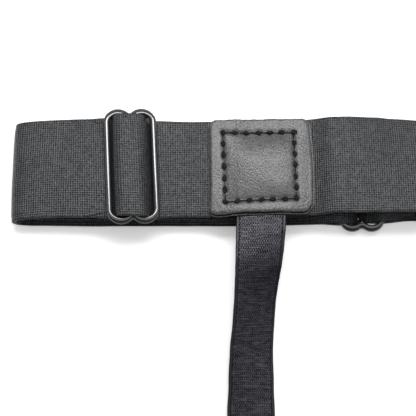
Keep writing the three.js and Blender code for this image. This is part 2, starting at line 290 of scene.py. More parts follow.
def arc(x, z, radius, start, end, y, skew=0, across=1, step=22.5, lead=1.5):
    """Stations round a bar, seen from the side, with a short straight lead at each end."""
    way = math.copysign(1, end - start)
    count = max(1, round(abs(end - start) / step))

    def at(degrees, ahead):
        turned = math.radians(degrees)
        return Station(
            x + radius * math.cos(turned) - ahead * way * math.sin(turned),
            y,
            z + radius * math.sin(turned) + ahead * way * math.cos(turned),
            0,
            skew,
            across,
        )

    bend = [at(start + (end - start) * i / count, 0) for i in range(count + 1)]
    return [at(start, -lead), *bend, at(end, lead)]


def ply_inside(stations, distance):
    """The same run one ply further in, backwards."""
    moved = []
    for i, at in enumerate(stations):
        before = stations[max(0, i - 1)]
        after = stations[min(len(stations) - 1, i + 1)]
        dx = after.x - before.x
        dz = after.z - before.z
        long = math.hypot(dx, dz)
        moved.append(at._replace(x=at.x + distance * dz / long, z=at.z - distance * dx / long))
    return moved[::-1]


def eased(stations, start, end):
    """The same run, its width going evenly from start to end."""
    last = len(stations) - 1
    return [at._replace(across=start + (end - start) * i / last) for i, at in enumerate(stations)]


print("half a turn takes", len(arc(0, 0, 1, -90, 90, 0)), "stations")

# %% The left half: the ply on the table, the fold and the ply on top
TABLE_PLY = BAND_THICK / 2
BACK_Y = 13.4
LEFT_NOSE = -80.05
FOLD_RADIUS = 4.65
# The fold drifts back from its lower end to its upper one
FOLD_LOW_Y = 14.05
FOLD_TOP_Y = 14.55
SLACK = 1.02
# Height of the front ply's middle at the front slide's left side
LEFT_OF_SLIDE = 12.9

fold_x = LEFT_NOSE + BAND_THICK / 2 + FOLD_RADIUS
left_fold = arc(fold_x, TABLE_PLY + FOLD_RADIUS, FOLD_RADIUS, -90, -250, BACK_Y, across=SLACK)
drift_back = (FOLD_TOP_Y - FOLD_LOW_Y) / (len(left_fold) - 1)
left_half = [
    Station(44, 14.1, TABLE_PLY),
    Station(20, BACK_Y, TABLE_PLY),
    Station(-20, BACK_Y, TABLE_PLY),
    Station(-55, BACK_Y, TABLE_PLY),
    *[at._replace(y=FOLD_LOW_Y + drift_back * i) for i, at in enumerate(left_fold)],
    Station(-69.5, 14.85, LEFT_OF_SLIDE - 1.9, across=SLACK),
    Station(-60, 15.1, LEFT_OF_SLIDE - 1.2, across=SLACK),
    Station(-50, 15.05, LEFT_OF_SLIDE - 0.4, skew=FRONT_SLIDE.turn / 2, across=1.025),
]
print("left half:", len(left_half), "stations")

# %% The front run, the right fold and the table run
FRONT_RUN = [
    Station(x, y, z, lean)
    for x, y, z, lean in (
        (-11, 14.85, 11.2, 0),
        (0, 14.75, 11.5, 0),
        (14, 14.9, 11.9, 0),
        (28, 15.2, 12.1, 0),
        (40.5, 15.4, 12.3, 0),
        (44, 15.5, 13.0, 0),
        (49, 15.6, 15.2, 0),
        (55.5, 15.6, 16.2, -1),
        (67, 15.7, 15.5, -3),
        (76, 15.95, 14.4, -6.5),
        (86, 16.05, 13.4, -8.6),
        (98, 15.8, 12.4, -6),
        (112, 15.7, 11.7, -2),
        (124, 15.6, 11.2, 0),
    )
]
RIGHT_NOSE = 140
RIGHT_Y = 15.6
right_radius = (FRONT_RUN[-1].z - TABLE_PLY) / 2
right_x = RIGHT_NOSE - BAND_THICK / 2 - right_radius
right_fold = arc(right_x, TABLE_PLY + right_radius, right_radius, 90, -90, RIGHT_Y)
TABLE_RUN = [Station(x, y, TABLE_PLY) for x, y in ((125, RIGHT_Y), (100, RIGHT_Y), (84, 15.5))]
print("front run:", FRONT_RUN[0].x, "to", FRONT_RUN[-1].x, "mm")
print("radius of the right fold:", round(right_radius, 2), "mm")

# %% [markdown]
# ## The bends round the wires
#
# In a slide the elastic is drawn over and under the wires, and this grip holds the slide where it was
# pushed. The front ply rises between the front slide's wires in an arch with a flat top, because the
# inner ply's doubled end lies under it. Every station could be read off the picture, but most of these
# are hidden. So the clearances between cloth and wire are named once, and the bends are arcs that are
# worked out from them. Only the arch and the two bends in the back slide are tables.

# %% Bends in the front slide
SLIDE_Y = 14.9
# Height of the front ply's middle at the slide's right side
RIGHT_OF_SLIDE = 11
BEND_GAP = 0.4
# From the middle of a wire to the middle of the ply on it, and of the ply on that ply
ON_WIRE = WIRE / 2 + BEND_GAP + BAND_THICK / 2
ON_PLY = ON_WIRE + PLY
# Height of the front slide's middle wire
FRONT_WIRE = (LEFT_OF_SLIDE + RIGHT_OF_SLIDE) / 2 + ON_WIRE
# The cloth's width as a share of its flat width: at a sewn end, and where the front slide spreads it
GATHERED = 0.95
ENTERING = 1.05
SPREAD = 1.08
IN_SLIDE = 1.065
LEAVING = 1.02
SEWN_TAIL = 14
tilt = math.radians(FRONT_SLIDE.tilt)
weave = math.degrees(math.asin((ON_WIRE + ON_PLY) / FRONT_REACH))
climb = weave - FRONT_SLIDE.tilt


def in_front_slide(side, radius, start, end, across):
    """An arc round the front slide's left (-1), middle (0) or right (1) wire."""
    return arc(
        FRONT_SLIDE.x + side * FRONT_REACH * math.cos(tilt),
        FRONT_WIRE - side * FRONT_REACH * math.sin(tilt),
        radius,
        start,
        end,
        SLIDE_Y,
        FRONT_SLIDE.turn,
        across,
        step=18,
    )


sewn_front = [
    Station(
        FRONT_SLIDE.x - FRONT_REACH - SEWN_TAIL / 2,
        SLIDE_Y,
        LEFT_OF_SLIDE - 2 * PLY,
        skew=FRONT_SLIDE.turn,
        across=GATHERED,
    ),
    *in_front_slide(-1, ON_PLY + PLY, -90, -90 + climb, GATHERED),
    *in_front_slide(0, ON_WIRE, -90, 90 + climb, GATHERED),
    *in_front_slide(-1, ON_PLY, -90 + climb, -90, GATHERED),
]
print("the inner ply climbs", round(climb, 1), "degrees between the wires")

# %% The flat-topped arch
# How steeply the front ply leaves the left wire and meets the right one, in degrees
STEEP_LEFT = 68
STEEP_RIGHT = 60
# Across from the slide's middle, and up from it
ARCH = (
    (-6.6, 1.5),
    (-5.7, 2.8),
    (-4.3, 3.6),
    (-2.2, 3.95),
    (0, 4.0),
    (2.3, 3.85),
    (4.0, 3.2),
    (5.2, 2.2),
    (6.1, 1.0),
)

arch = [
    Station(
        FRONT_SLIDE.x + across * math.cos(tilt) + up * math.sin(tilt),
        SLIDE_Y,
        FRONT_WIRE - across * math.sin(tilt) + up * math.cos(tilt),
        0,
        FRONT_SLIDE.turn,
        IN_SLIDE,
    )
    for across, up in ARCH
]
leaves_at = -90 + STEEP_LEFT - FRONT_SLIDE.tilt
meets_at = -90 - STEEP_RIGHT - FRONT_SLIDE.tilt
woven = [
    *eased(in_front_slide(-1, ON_WIRE, -90, leaves_at, 1), ENTERING, SPREAD),
    *arch,
    *eased(in_front_slide(1, ON_WIRE, meets_at, -90, 1), SPREAD, LEAVING),
]
print("front ply in the slide:", len(woven), "stations")

# %% The hook and the sewn end in the back slide
RELAXED = 1.045
SEWN_BACK_Y = 15.4
OVER_WIRE = 2 * ON_WIRE


def in_back_slide(y, *spots):
    """Stations in the back slide, from its middle and up from the table ply."""
    return [Station(BACK_SLIDE.x + across, y, TABLE_PLY + up, across=RELAXED) for across, up in spots]


hook = [
    Station(BACK_SLIDE.x - BACK_REACH - 6, 14.3, TABLE_PLY + OVER_WIRE - 1),
    *in_back_slide(
        BACK_SLIDE.y,
        (-8.4, OVER_WIRE),
        (-6.2, OVER_WIRE - 0.5),
        (-3.8, 2.7),
        (-2.0, 1.5),
        (-1.3, 0.8),
        (-2.0, 0.1),
        (-3.4, 0),
        (-8.5, 0),
    ),
]
sewn_back = [
    *in_back_slide(
        SEWN_BACK_Y,
        (8.5, 0),
        (3.4, 0),
        (2.0, 0.1),
        (1.3, 0.8),
        (2.0, 1.5),
        (3.9, 2.0),
        (5.7, 3.2),
        (7.2, OVER_WIRE - 0.3),
        (8.4, OVER_WIRE),
        (9.8, OVER_WIRE - 0.5),
    ),
    Station(BACK_SLIDE.x + BACK_REACH + 5, 15.1, TABLE_PLY + PLY + 1),
    Station(BACK_SLIDE.x + BACK_REACH + 9, 15.4, TABLE_PLY + PLY),
    Station(BACK_SLIDE.x + BACK_REACH + SEWN_TAIL, 15.5, TABLE_PLY + PLY),
]
print("the cloth rises", round(OVER_WIRE, 2), "mm over the back slide's wires")

# %% The whole route, cut in sections
band_route = [
    *sewn_front,
    *ply_inside(left_half, PLY),
    *hook,
    *left_half,
    *woven,
    *FRONT_RUN,
    *right_fold,
    *TABLE_RUN,
    *sewn_back,
]
band_sections = along(band_route, Vector((0, 1, 0)), longest=2, turn=7)

# %% [markdown]
# ## From a bmesh to a piece
#
# A bmesh is a mesh in the making. The editor's operators need the right mode and window, and those of a
# bmesh work anywhere. Each one below becomes an object at the origin, so that its place is in its mesh,
# and rides on the stay's one body. The normals are smoothed, because cloth, leather and wire have no
# facets.

# %% Pieces


def piece(name, mesh, replaces=()):
    data = bpy.data.meshes.new(name)
    mesh.to_mesh(data)
    mesh.free()
    data.shade_smooth()
    made = bpy.data.objects.new(name, data)
    bpy.context.scene.collection.objects.link(made)
    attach(made, "root")
    if replaces:
        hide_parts(*replaces)
    print(name, "has", len(data.polygons), "faces")
    return made


# %% [markdown]
# ## The band's cloth
#
# Real webbing is never quite flat. It is crowned a little across its width, except where a fold pulls it
# taut. It ripples by a tenth of a millimetre over a centimetre or two, and its selvedges wander where the
# rubber threads pull. Two slow noises and a curve across the width give all that, where a sculpted or
# simulated cloth would need a far finer mesh.

# %% Band
BAND_COLUMNS = 40
RIPPLE = 0.09
RIPPLE_LONG = 14
CROWN = 0.8
# How much of the crown a fold pulls out
TAUT = 0.7
# How far the selvedges roll down, and how far inside the edge that begins
EDGE_ROLL = 0.3
EDGE_WIDE = 4
WANDER = 0.16
WANDER_LONG = 11
# Where the two selvedges lie in the noise, far enough apart to wander each its own way
SELVEDGE_ROW = 7
SELVEDGE_LAYER = 3


def band_shape(at, side):
    edge = smoothstep(abs(side), BAND_WIDTH / 2 - EDGE_WIDE, BAND_WIDTH / 2)
    rise = RIPPLE * ripple(at.reached, side, 0, RIPPLE_LONG)
    rise -= CROWN * (1 - TAUT * abs(at.face.x)) * (2 * side / BAND_WIDTH) ** 2
    rise -= EDGE_ROLL * edge**2
    spot = Vector((at.reached / WANDER_LONG, math.copysign(SELVEDGE_ROW, side), SELVEDGE_LAYER))
    return rise, WANDER * edge * noise.noise(spot)


band = piece(
    "thigh_band_elastic",
    strip(band_sections, BAND_WIDTH, BAND_COLUMNS, band_shape),
    ["thigh_band"],
)
thickened(band, BAND_THICK)

# %% [markdown]
# ## The strap
#
# The narrow strap starts under the front patch, comes off the band's lower edge and sinks to the table in
# a slack curve, one edge higher than the other. Where it hangs slack it looks narrower, because it is
# cupped. It ends round the clip's bar. A flat plane with a cloth simulation would sag too, but not in
# the curve of the picture. It is the same kind of strip as the band, so the same helpers make it, and its
# height over the band is read off the band's own front run.

# %% Sizes of the strap, and the band under it
STRAP_WIDTH = 20
STRAP_THICK = 1.2
GAP = 0.3
STRAP_X = 21.2
STRAP_TOP = 26
# From the middle of the band's front ply to the strap's middle on it
STRAP_OVER_BAND = BAND_THICK / 2 + GAP + STRAP_THICK / 2
# Where the band's slope under the strap is taken, and how far to each side
SLOPE_X = 21
SLOPE_REACH = 10


def front_height(x):
    """Height of the middle of the front ply at x."""
    for a, b in zip(FRONT_RUN, FRONT_RUN[1:]):
        if a.x <= x <= b.x:
            return a.z + (b.z - a.z) * (x - a.x) / (b.x - a.x)
    return FRONT_RUN[0].z


rise_under_strap = front_height(SLOPE_X + SLOPE_REACH) - front_height(SLOPE_X - SLOPE_REACH)
band_slope = math.degrees(math.atan(rise_under_strap / (2 * SLOPE_REACH)))
strap_on_band = front_height(STRAP_X) + STRAP_OVER_BAND
print("under the strap the band leans", round(band_slope, 2), "degrees")

# %% The strap's route
CLIP_X = 17
CLIP_BAR_Y = -104
CLIP_BAR = 2.4
CLIP_GAP = 0.5
CLIP_RADIUS = CLIP_BAR / 2 + CLIP_GAP + STRAP_THICK / 2
OVER_TABLE = 0.1
STRAP_ON_TABLE = STRAP_THICK / 2 + OVER_TABLE
CLIP_Z = STRAP_ON_TABLE + CLIP_RADIUS
BAR_STEPS = 8


def round_clip_bar(degrees):
    turned = math.radians(degrees)
    return Station(
        CLIP_X,
        CLIP_BAR_Y + CLIP_RADIUS * math.cos(turned),
        CLIP_Z + CLIP_RADIUS * math.sin(turned),
    )


strap_route = [
    *[Station(STRAP_X, y, strap_on_band, band_slope) for y in (STRAP_TOP, 12, -4)],
    *[
        Station(x, y, z, lean, 0, across)
        for x, y, z, lean, across in (
            (21, -10, 14.1, 0, 0.99),
            (20.6, -17, 14.15, -3, 0.965),
            (20.0, -25, 13.4, -7, 0.935),
            (19.6, -29.5, 11.9, -12, 0.915),
            (19.2, -33.5, 10.2, -17, 0.905),
            (18.7, -39, 8.4, -20, 0.89),
            (17.9, -48, 6.6, -19, 0.88),
            (17.1, -58, 5.2, -15, 0.885),
            (16.85, -71, 3.8, -10, 0.91),
            (16.8, -83, 2.7, -5, 0.935),
            (17, -93, 2.2, 0, 1),
        )
    ],
    *[round_clip_bar(90 + 180 * i / BAR_STEPS) for i in range(BAR_STEPS + 1)],
    Station(CLIP_X, CLIP_BAR_Y + SEWN_TAIL / 2, STRAP_ON_TABLE),
    Station(CLIP_X, CLIP_BAR_Y + SEWN_TAIL, STRAP_ON_TABLE),
]
strap_sections = along(strap_route, Vector((1, 0, 0)), longest=1.5, turn=7)

# %% [markdown]
# ## The strap's cloth
#
# The strap's selvedges are set off by a shallow line. A bump could draw it, but pressed into the mesh it
# also catches the light from the side. Where the strap hangs it is crowned, and on the table it is
# slightly dished instead, because crowned edges would dip below the board. Round the bar it is flat.

# %% Strap
STRAP_COLUMNS = 40
STRAP_RIPPLE = 0.07
STRAP_RIPPLE_LONG = 9
STRAP_LAYER = 40
SELVEDGE = 1.3
LINE_DEEP = 0.1
LINE_WIDE = 0.35
STRAP_CROWN = 0.4
# Along the strap, where it comes down to the table and where it turns up round the bar
ON_TABLE_FROM = (60, 100)
ON_BAR_FROM = (112, 126)
STRAP_WANDER = 0.12
STRAP_WANDER_LONG = 8
STRAP_EDGE_ROW = 5
STRAP_EDGE_LAYER = 9


def bell(distance, width):
    """One at no distance, and nearly nothing past two widths."""
    return math.exp(-((distance / width) ** 2))


def strap_shape(at, side):
    rise = STRAP_RIPPLE * ripple(at.reached, side, STRAP_LAYER, STRAP_RIPPLE_LONG)
    rise -= LINE_DEEP * bell(abs(side) - (STRAP_WIDTH / 2 - SELVEDGE), LINE_WIDE)
    flattened = 2 * smoothstep(at.reached, *ON_TABLE_FROM) - smoothstep(at.reached, *ON_BAR_FROM)
    rise -= STRAP_CROWN * (1 - flattened) * (2 * side / STRAP_WIDTH) ** 2
    spot = Vector((at.reached / STRAP_WANDER_LONG, math.copysign(STRAP_EDGE_ROW, side), STRAP_EDGE_LAYER))
    return rise, STRAP_WANDER * noise.noise(spot)


strap = piece(
    "clip_strap_elastic",
    strip(strap_sections, STRAP_WIDTH, STRAP_COLUMNS, strap_shape),
    ["clip_strap"],
)
thickened(strap, STRAP_THICK)

# %% [markdown]
# ## The wire slides
#
# A slide is a figure of eight of round wire, cast in one piece. It could be a curve with a round bevel,
# but three wires that melt into one another would then cut through each other. So one half of it is made
# as a ring with two straight sides: a circle is spun half a turn, drawn out straight, spun again and
# drawn back. A cut through the middle wire and a mirror make the other half.

# %% One long ring
WIRE_SIDES = 28
STRAIGHT_CUTS = 14
# Vertices closer than this are one
RING_DOUBLES = 1e-3


def edges_of(parts):
    return [part for part in parts if isinstance(part, bmesh.types.BMEdge)]


def verts_of(parts):
    return [part for part in parts if isinstance(part, bmesh.types.BMVert)]


def lobe_of(slide):
    """Radius of the bent ends: the two rings share the slide's width."""
    return (slide.width - WIRE) / 4


def straight_of(slide):
    """Half the length of a ring's straight sides."""
    return (slide.length - WIRE) / 2 - lobe_of(slide)


def long_ring(slide):
    """The left ring, with its right side on the slide's middle line."""
    lobe = lobe_of(slide)
    straight = straight_of(slide)
    mesh = bmesh.new()
    across_wire = Matrix.Rotation(math.radians(90), 4, "X")
    start = bmesh.ops.create_circle(mesh, segments=WIRE_SIDES, radius=WIRE / 2, matrix=across_wire)["verts"]
    bmesh.ops.translate(mesh, verts=start, vec=(0, straight, 0))
    ends = mesh.edges[:]
    for way in (1, -1):
        turned = bmesh.ops.spin(
            mesh,
            geom=ends,
            cent=(-lobe, way * straight, 0),
            axis=(0, 0, 1),
            angle=math.pi,
            steps=WIRE_SIDES,
            use_duplicate=False,
        )["geom_last"]
        drawn = bmesh.ops.extrude_edge_only(mesh, edges=edges_of(turned))["geom"]
        moved = verts_of(drawn)
        bmesh.ops.translate(mesh, verts=moved, vec=(0, -way * 2 * straight, 0))
        ends = [edge for edge in edges_of(drawn) if all(vert in moved for vert in edge.verts)]
    bmesh.ops.remove_doubles(mesh, verts=mesh.verts, dist=RING_DOUBLES)
    long_edges = [edge for edge in mesh.edges if edge.calc_length() > straight]
    bmesh.ops.subdivide_edges(mesh, edges=long_edges, cuts=STRAIGHT_CUTS, use_grid_fill=True)
    return mesh


print("from wire to wire of a front ring:", round(2 * lobe_of(FRONT_SLIDE), 2), "mm")

# %% Its mirror image
MIRROR_DOUBLES = 1e-4


def everything(mesh):
    return mesh.verts[:] + mesh.edges[:] + mesh.faces[:]


def mirror_ring(mesh):
    """Cut the ring through its right wire and mirror it there, so that both rings share that wire."""
    ring = everything(mesh)
    bmesh.ops.bisect_plane(mesh, geom=ring, plane_co=(0, 0, 0), plane_no=(1, 0, 0), clear_outer=True)
    bmesh.ops.mirror(mesh, geom=everything(mesh), axis="X", merge_dist=MIRROR_DOUBLES)
    bmesh.ops.remove_doubles(mesh, verts=mesh.verts, dist=MIRROR_DOUBLES)


sample = long_ring(FRONT_SLIDE)
one_ring = len(sample.faces)
mirror_ring(sample)
print("faces of one ring:", one_ring, "and of the figure of eight:", len(sample.faces))
sample.free()

# %% [markdown]
# ## The slides' ends
#
# At each end the casting fills the notch between the two rings with a short bent wire. A metaball or a
# remesh could melt the three together, but would lose the clean round wire. Here it is one more circle,
# spun about a point outside the slide and left inside the rings. The wire's top also leans in at both
# ends, and its underside out, which puts the highlight where it is on the real slide. Spin and mirror may
# turn faces inside out, so the normals are recalculated.

# %% The bent wires and the lean
SADDLE_STEPS = 16
# How far the top of the wire leans in at a slide's two ends
END_LEAN = 0.7


def add_saddle(mesh, slide, way):
    """The short bent wire between the rings at the slide's upper (1) or lower (-1) end."""
    lobe = lobe_of(slide)
    away = math.sqrt((lobe + slide.saddle) ** 2 - lobe**2)
    half_way = math.acos(away / (lobe + slide.saddle))
    centre = Vector((0, way * (straight_of(slide) + away), 0))
    matrix = Matrix.Translation(centre) @ Matrix.Rotation(-half_way, 4, "Z")
    matrix = matrix @ Matrix.Translation((0, -way * slide.saddle, 0))
    matrix = matrix @ Matrix.Rotation(math.radians(90), 4, "Y")
    made = bmesh.ops.create_circle(mesh, cap_ends=True, segments=WIRE_SIDES, radius=WIRE / 2, matrix=matrix)
    verts = made["verts"]
    edges = list({edge for vert in verts for edge in vert.link_edges})
    faces = list({face for vert in verts for face in vert.link_faces})
    bmesh.ops.spin(
        mesh,
        geom=verts + edges + faces,
        cent=centre,
        axis=(0, 0, 1),
        angle=2 * half_way,
        steps=SADDLE_STEPS,
        use_duplicate=False,
    )


def lean_ends(mesh, slide):
    straight = straight_of(slide)
    for vert in mesh.verts:
        end = smoothstep(abs(vert.co.y), straight, straight + lobe_of(slide))
        vert.co.y -= math.copysign(END_LEAN * end * 2 * vert.co.z / WIRE, vert.co.y)


print("the ends lean", round(math.degrees(math.atan(END_LEAN / (WIRE / 2)))), "degrees")

# %% Slides


def wire_slide(name, slide, node):
    mesh = long_ring(slide)
    mirror_ring(mesh)
    for way in (1, -1):
        add_saddle(mesh, slide, way)
    bmesh.ops.recalc_face_normals(mesh, faces=mesh.faces)
    lean_ends(mesh, slide)
    low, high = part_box(node)
    middle = place(slide.x, slide.y, 0)
    middle.z = (low.z + high.z) / 2
    turn = Matrix.Rotation(math.radians(slide.turn), 4, "Z")
    lean = Matrix.Rotation(math.radians(slide.tilt), 4, "Y")
    into_frame = Matrix.Translation(middle) @ turn @ lean @ Matrix.Scale(MM, 4)
    bmesh.ops.transform(mesh, matrix=into_frame, verts=mesh.verts)
    print(name, "has", sum(not edge.is_manifold for edge in mesh.edges), "open edges")
    return piece(name, mesh, [node])


slides = [
    wire_slide("front_slide_wire", FRONT_SLIDE, "front_slide"),
    wire_slide("back_slide_wire", BACK_SLIDE, "back_slide"),
]

# %% [markdown]
# ## The clip
#
# The strap ends in a clip for the shirt's hem. It is past the picture's edge, so it is one plain cast
# piece: a bar for the strap, two cheeks beside a slot, and a wedge of closed jaws. Boxes joined by
# booleans would leave long thin faces. Instead a grid is laid out with lines on the slot's borders, the
# slot's cells are deleted, and the rest is extruded to a slab. Its two faces are then moved to the clip's
# profile, and a Bevel modifier rounds the sharp edges.

# %% The clip's grid and profile
CLIP_WIDTH = 24
SLOT_WIDTH = 21.4
CLIP_COLUMNS = 14
# back is from the middle of the bar, over and under are the heights of the two faces
Profile = namedtuple("Profile", "back over under")
CLIP_PROFILE = [
    Profile(*row)
    for row in (
        (1.2, 1.2, -1.2),
        (-0.84, 1.2, -1.2),
        (-5.44, 1.2, -1.2),
        (-9, 1.25, -1.2),
        (-11, 1.6, -1.5),
        (-12.5, 2.2, -2.6),
        (-14, 2.8, -3.0),
        (-16.5, 3.3, -3.0),
        (-20, 3.45, -3.0),
        (-25, 3.1, -3.0),
        (-30, 2.4, -3.0),
        (-35, 1.6, -3.0),
        (-40, 0.9, -3.0),
    )
]
# The row of cells that the slot takes
SLOT_ROW = 1


def slab(mesh):
    """Give a flat grid a second face one unit above it, and a wall between the two."""
    grown = bmesh.ops.extrude_face_region(mesh, geom=mesh.faces[:])["geom"]
    bmesh.ops.translate(mesh, verts=verts_of(grown), vec=(0, 0, 1))


def clip_across(column):
    """Where a line of the grid lies. The outer two are the clip's sides, and the rest span the slot."""
    if column in (0, CLIP_COLUMNS):
        return CLIP_WIDTH * (column / CLIP_COLUMNS - 0.5)
    return SLOT_WIDTH * ((column - 1) / (CLIP_COLUMNS - 2) - 0.5)


print("lines across the clip:", [round(clip_across(column), 1) for column in range(CLIP_COLUMNS + 1)])

# %% Clip
CLIP_CROWN = 0.5
CROWN_FROM = (6, 16)
CLIP_ROUND = 0.55
CLIP_SHARP = math.radians(40)


def clip_body():
    mesh = bmesh.new()
    rows = len(CLIP_PROFILE) - 1
    bmesh.ops.create_grid(mesh, x_segments=CLIP_COLUMNS, y_segments=rows, size=1)
    slot = []
    for face in mesh.faces:
        middle = face.calc_center_median()
        row = (1 - middle.y) / 2 * rows
        if SLOT_ROW < row < SLOT_ROW + 1 and abs(middle.x) < 1 - 2 / CLIP_COLUMNS:
            slot.append(face)
    bmesh.ops.delete(mesh, geom=slot, context="FACES")
    slab(mesh)
    bmesh.ops.recalc_face_normals(mesh, faces=mesh.faces)
    for vert in mesh.verts:
        at = CLIP_PROFILE[round((1 - vert.co.y) / 2 * rows)]
        across = clip_across(round((vert.co.x + 1) / 2 * CLIP_COLUMNS))
        crown = 0.5 - (2 * across / CLIP_WIDTH) ** 2
        over = at.over + CLIP_CROWN * crown * smoothstep(-at.back, *CROWN_FROM)
        height = over if vert.co.z > 0.5 else at.under
        vert.co = place(CLIP_X + across, CLIP_BAR_Y + at.back, CLIP_Z + height)
    return piece("shirt_clip_body", mesh, ["shirt_clip"])


clip = clip_body()
modifier(clip, "BEVEL", width=CLIP_ROUND * MM, segments=3, limit_method="ANGLE", angle_limit=CLIP_SHARP)

# %% [markdown]
# ## The leather patches
#
# Each patch is a square of soft leather about 2 mm thick with round corners, and no side of it is quite
# straight. Its edge was rolled and burnished: a round shoulder, a groove under it and a thin lip at the
# foot. A Bevel modifier gives only one round edge, so the edge has its own profile: a grid is extruded to
# a slab, the slab's wall is cut in rings, and each ring is moved to its place on the profile.

# %% Sizes of the patches
# Corners and their radii from the lower left, anticlockwise. bow is how far the right edge swells out
Patch = namedtuple("Patch", "thick corners radii bow")
FRONT_PATCH = Patch(
    thick=2,
    corners=((0.5, -6.0), (42.55, -4.5), (41.5, 35.45), (0.25, 35.05)),
    radii=(3.5, 5, 3.5, 3.5),
    bow=0.75,
)
BACK_PATCH = Patch(
    thick=1.6,
    corners=((1.3, -8.1), (42.2, -6.1), (40.3, 32.5), (-0.6, 30.5)),
    radii=(3.5, 3.5, 3.5, 3.5),
    bow=0,
)
print("the patches are", FRONT_PATCH.thick, "and", BACK_PATCH.thick, "mm thick")

# %% The rolled edge
# Widths from the outside in, on each side of the patch
Rolled = namedtuple("Rolled", "lip groove shoulder")
LEFT_EDGE = Rolled(0.1, 0.3, 1.0)
RIGHT_EDGE = Rolled(0.8, 0.12, 1.2)
TOP_EDGE = Rolled(0.1, 0.25, 1.0)
BOTTOM_EDGE = Rolled(0.3, 0.55, 1.15)
# From the foot up: how far in, as shares of lip, groove and shoulder, height as a share of the thickness,
# and how dark the edge is painted, by its dyeing and by painted shade, which is most in the groove under
# the shoulder
Ring = namedtuple("Ring", "lip groove shoulder height dye")
EDGE_RINGS = [
    Ring(*row)
    for row in (
        (0.5, 0.5, 0, 0.0, 0.6),
        (0.1, 0, 0, 0.04, 0.3),
        (0, 0, 0, 0.1, 0.4),
        (0.5, 0, 0, 0.17, 0.45),
        (1, 0, 0, 0.17, 0.6),
        (1, 0.4, 0, 0.12, 1),
        (1, 0.95, 0, 0.16, 1),
        (1, 1, 0, 0.42, 0.75),
        (1, 1, 0.05, 0.66, 0.4),
        (1, 1, 0.22, 0.84, 0.2),
        (1, 1, 0.55, 0.96, 0.06),
        (1, 1, 1, 1.0, 0),
    )
]


def inset_of(ring, edge):
    return ring.lip * edge.lip + ring.groove * edge.groove + ring.shoulder * edge.shoulder


print("the edge's rings lie", [round(inset_of(ring, BOTTOM_EDGE), 2) for ring in EDGE_RINGS], "mm in")

# %% A blank
CELLS = 88


def patch_blank():
    """A square slab from -1 to 1, its wall cut in one row of faces between each two rings."""
    mesh = bmesh.new()
    bmesh.ops.create_grid(mesh, x_segments=CELLS, y_segments=CELLS, size=1)
    slab(mesh)
    wall = [edge for edge in mesh.edges if abs(edge.verts[0].co.z - edge.verts[1].co.z) > 0.5]
    bmesh.ops.subdivide_edges(mesh, edges=wall, cuts=len(EDGE_RINGS) - 2, use_grid_fill=True)
    bmesh.ops.recalc_face_normals(mesh, faces=mesh.faces)
    return mesh


left, right = FRONT_PATCH.corners[0][0], FRONT_PATCH.corners[1][0]
print("the front patch's cells are", round((right - left) / CELLS, 2), "mm wide")

# %% Where the blank's points go
# The outer tenth of a patch wavers: slowly from the cut, and quickly from the burnishing
WAVER_FROM = 0.9
SLOW_WAVER = 0.22
SLOW_LONG = 6
QUICK_WAVER = 0.2
QUICK_LONG = 1.7
QUICK_LAYER = 31
BOW_FROM = 0.3


def rounded(u, v, ring, half, radii):
    """A place of the blank on a flat patch with round corners, in mm from its middle."""
    flat = Vector((
        u * (half.x - inset_of(ring, RIGHT_EDGE if u > 0 else LEFT_EDGE)),
        v * (half.y - inset_of(ring, TOP_EDGE if v > 0 else BOTTOM_EDGE)),
    ))
    quarter = (0 if u < 0 else 1) if v < 0 else (3 if u < 0 else 2)
    inner = half - Vector((radii[quarter], radii[quarter]))
    over = Vector((max(0, abs(flat.x) - inner.x), max(0, abs(flat.y) - inner.y)))
    if over.x > 0 and over.y > 0:
        over *= max(over) / over.length
        flat.x = math.copysign(inner.x + over.x, flat.x)
        flat.y = math.copysign(inner.y + over.y, flat.y)
    return flat


def on_patch(u, v, ring, patch):
    """A place of the blank on the finished outline, with its waver and bow, measured as the patch is."""
    corners = [Vector(corner) for corner in patch.corners]
    half = Vector(((corners[1] - corners[0]).length, (corners[2] - corners[1]).length)) / 2
    flat = rounded(u, v, ring, half, patch.radii)
    waver = SLOW_WAVER * ripple(flat.x, flat.y, patch.thick, SLOW_LONG)
    waver += QUICK_WAVER * ripple(flat.x, flat.y, QUICK_LAYER, QUICK_LONG)
    flat += flat.normalized() * smoothstep(max(abs(u), abs(v)), WAVER_FROM, 1) * waver
    flat.x += patch.bow * smoothstep(u, BOW_FROM, 1) * (1 - v * v)
    right, up = (flat.x / half.x + 1) / 2, (flat.y / half.y + 1) / 2
    return corners[0].lerp(corners[1], right).lerp(corners[3].lerp(corners[2], right), up)


outer_corner = on_patch(1, 1, EDGE_RINGS[2], FRONT_PATCH)
print("the patch's upper right corner is at", [round(c, 2) for c in outer_corner])

# %% [markdown]
# ## The sewn square
#
# A square of coarse stitches holds the patch to the band and the strap. It isn't quite square, as nothing
# is that was sewn by hand. The sewing draws the leather down: gently beside the seam, sharply in its
# groove, and deepest at the holes. All of it depends only on how far a place lies from the seam and from
# the nearest hole, so two distances are enough, and no hole has to be cut.

# %% Seam and holes
SEWN_CORNERS = [Vector(at) for at in ((6.97, -0.08), (35.26, 1.12), (34.6, 29.1), (5.95, 28.84))]
SEAMS = list(zip(SEWN_CORNERS, SEWN_CORNERS[1:] + SEWN_CORNERS[:1]))
STITCHES = 6
holes = [start.lerp(end, k / STITCHES) for start, end in SEAMS for k in range(STITCHES)]
# How far inside the line the outside ends, and the inside begins
SEAM_STEP = (-0.5, 1)


def off_seam(x, y):
    """How far a place lies from the sewn line."""
    spot = Vector((x, y))
    distances = []
    for start, end in SEAMS:
        share = min(1, max(0, (spot - start).dot(end - start) / (end - start).length_squared))
        distances.append((spot - start.lerp(end, share)).length)
    return min(distances)


def off_holes(spot):
    return min((spot - hole).length for hole in holes)


def inside_seam(x, y):
    """From 0 just outside the sewn line to 1 just inside it."""
    spot = Vector((x, y))
    inside = min((end - start).normalized().cross(spot - start) for start, end in SEAMS)
    return smoothstep(inside, *SEAM_STEP)


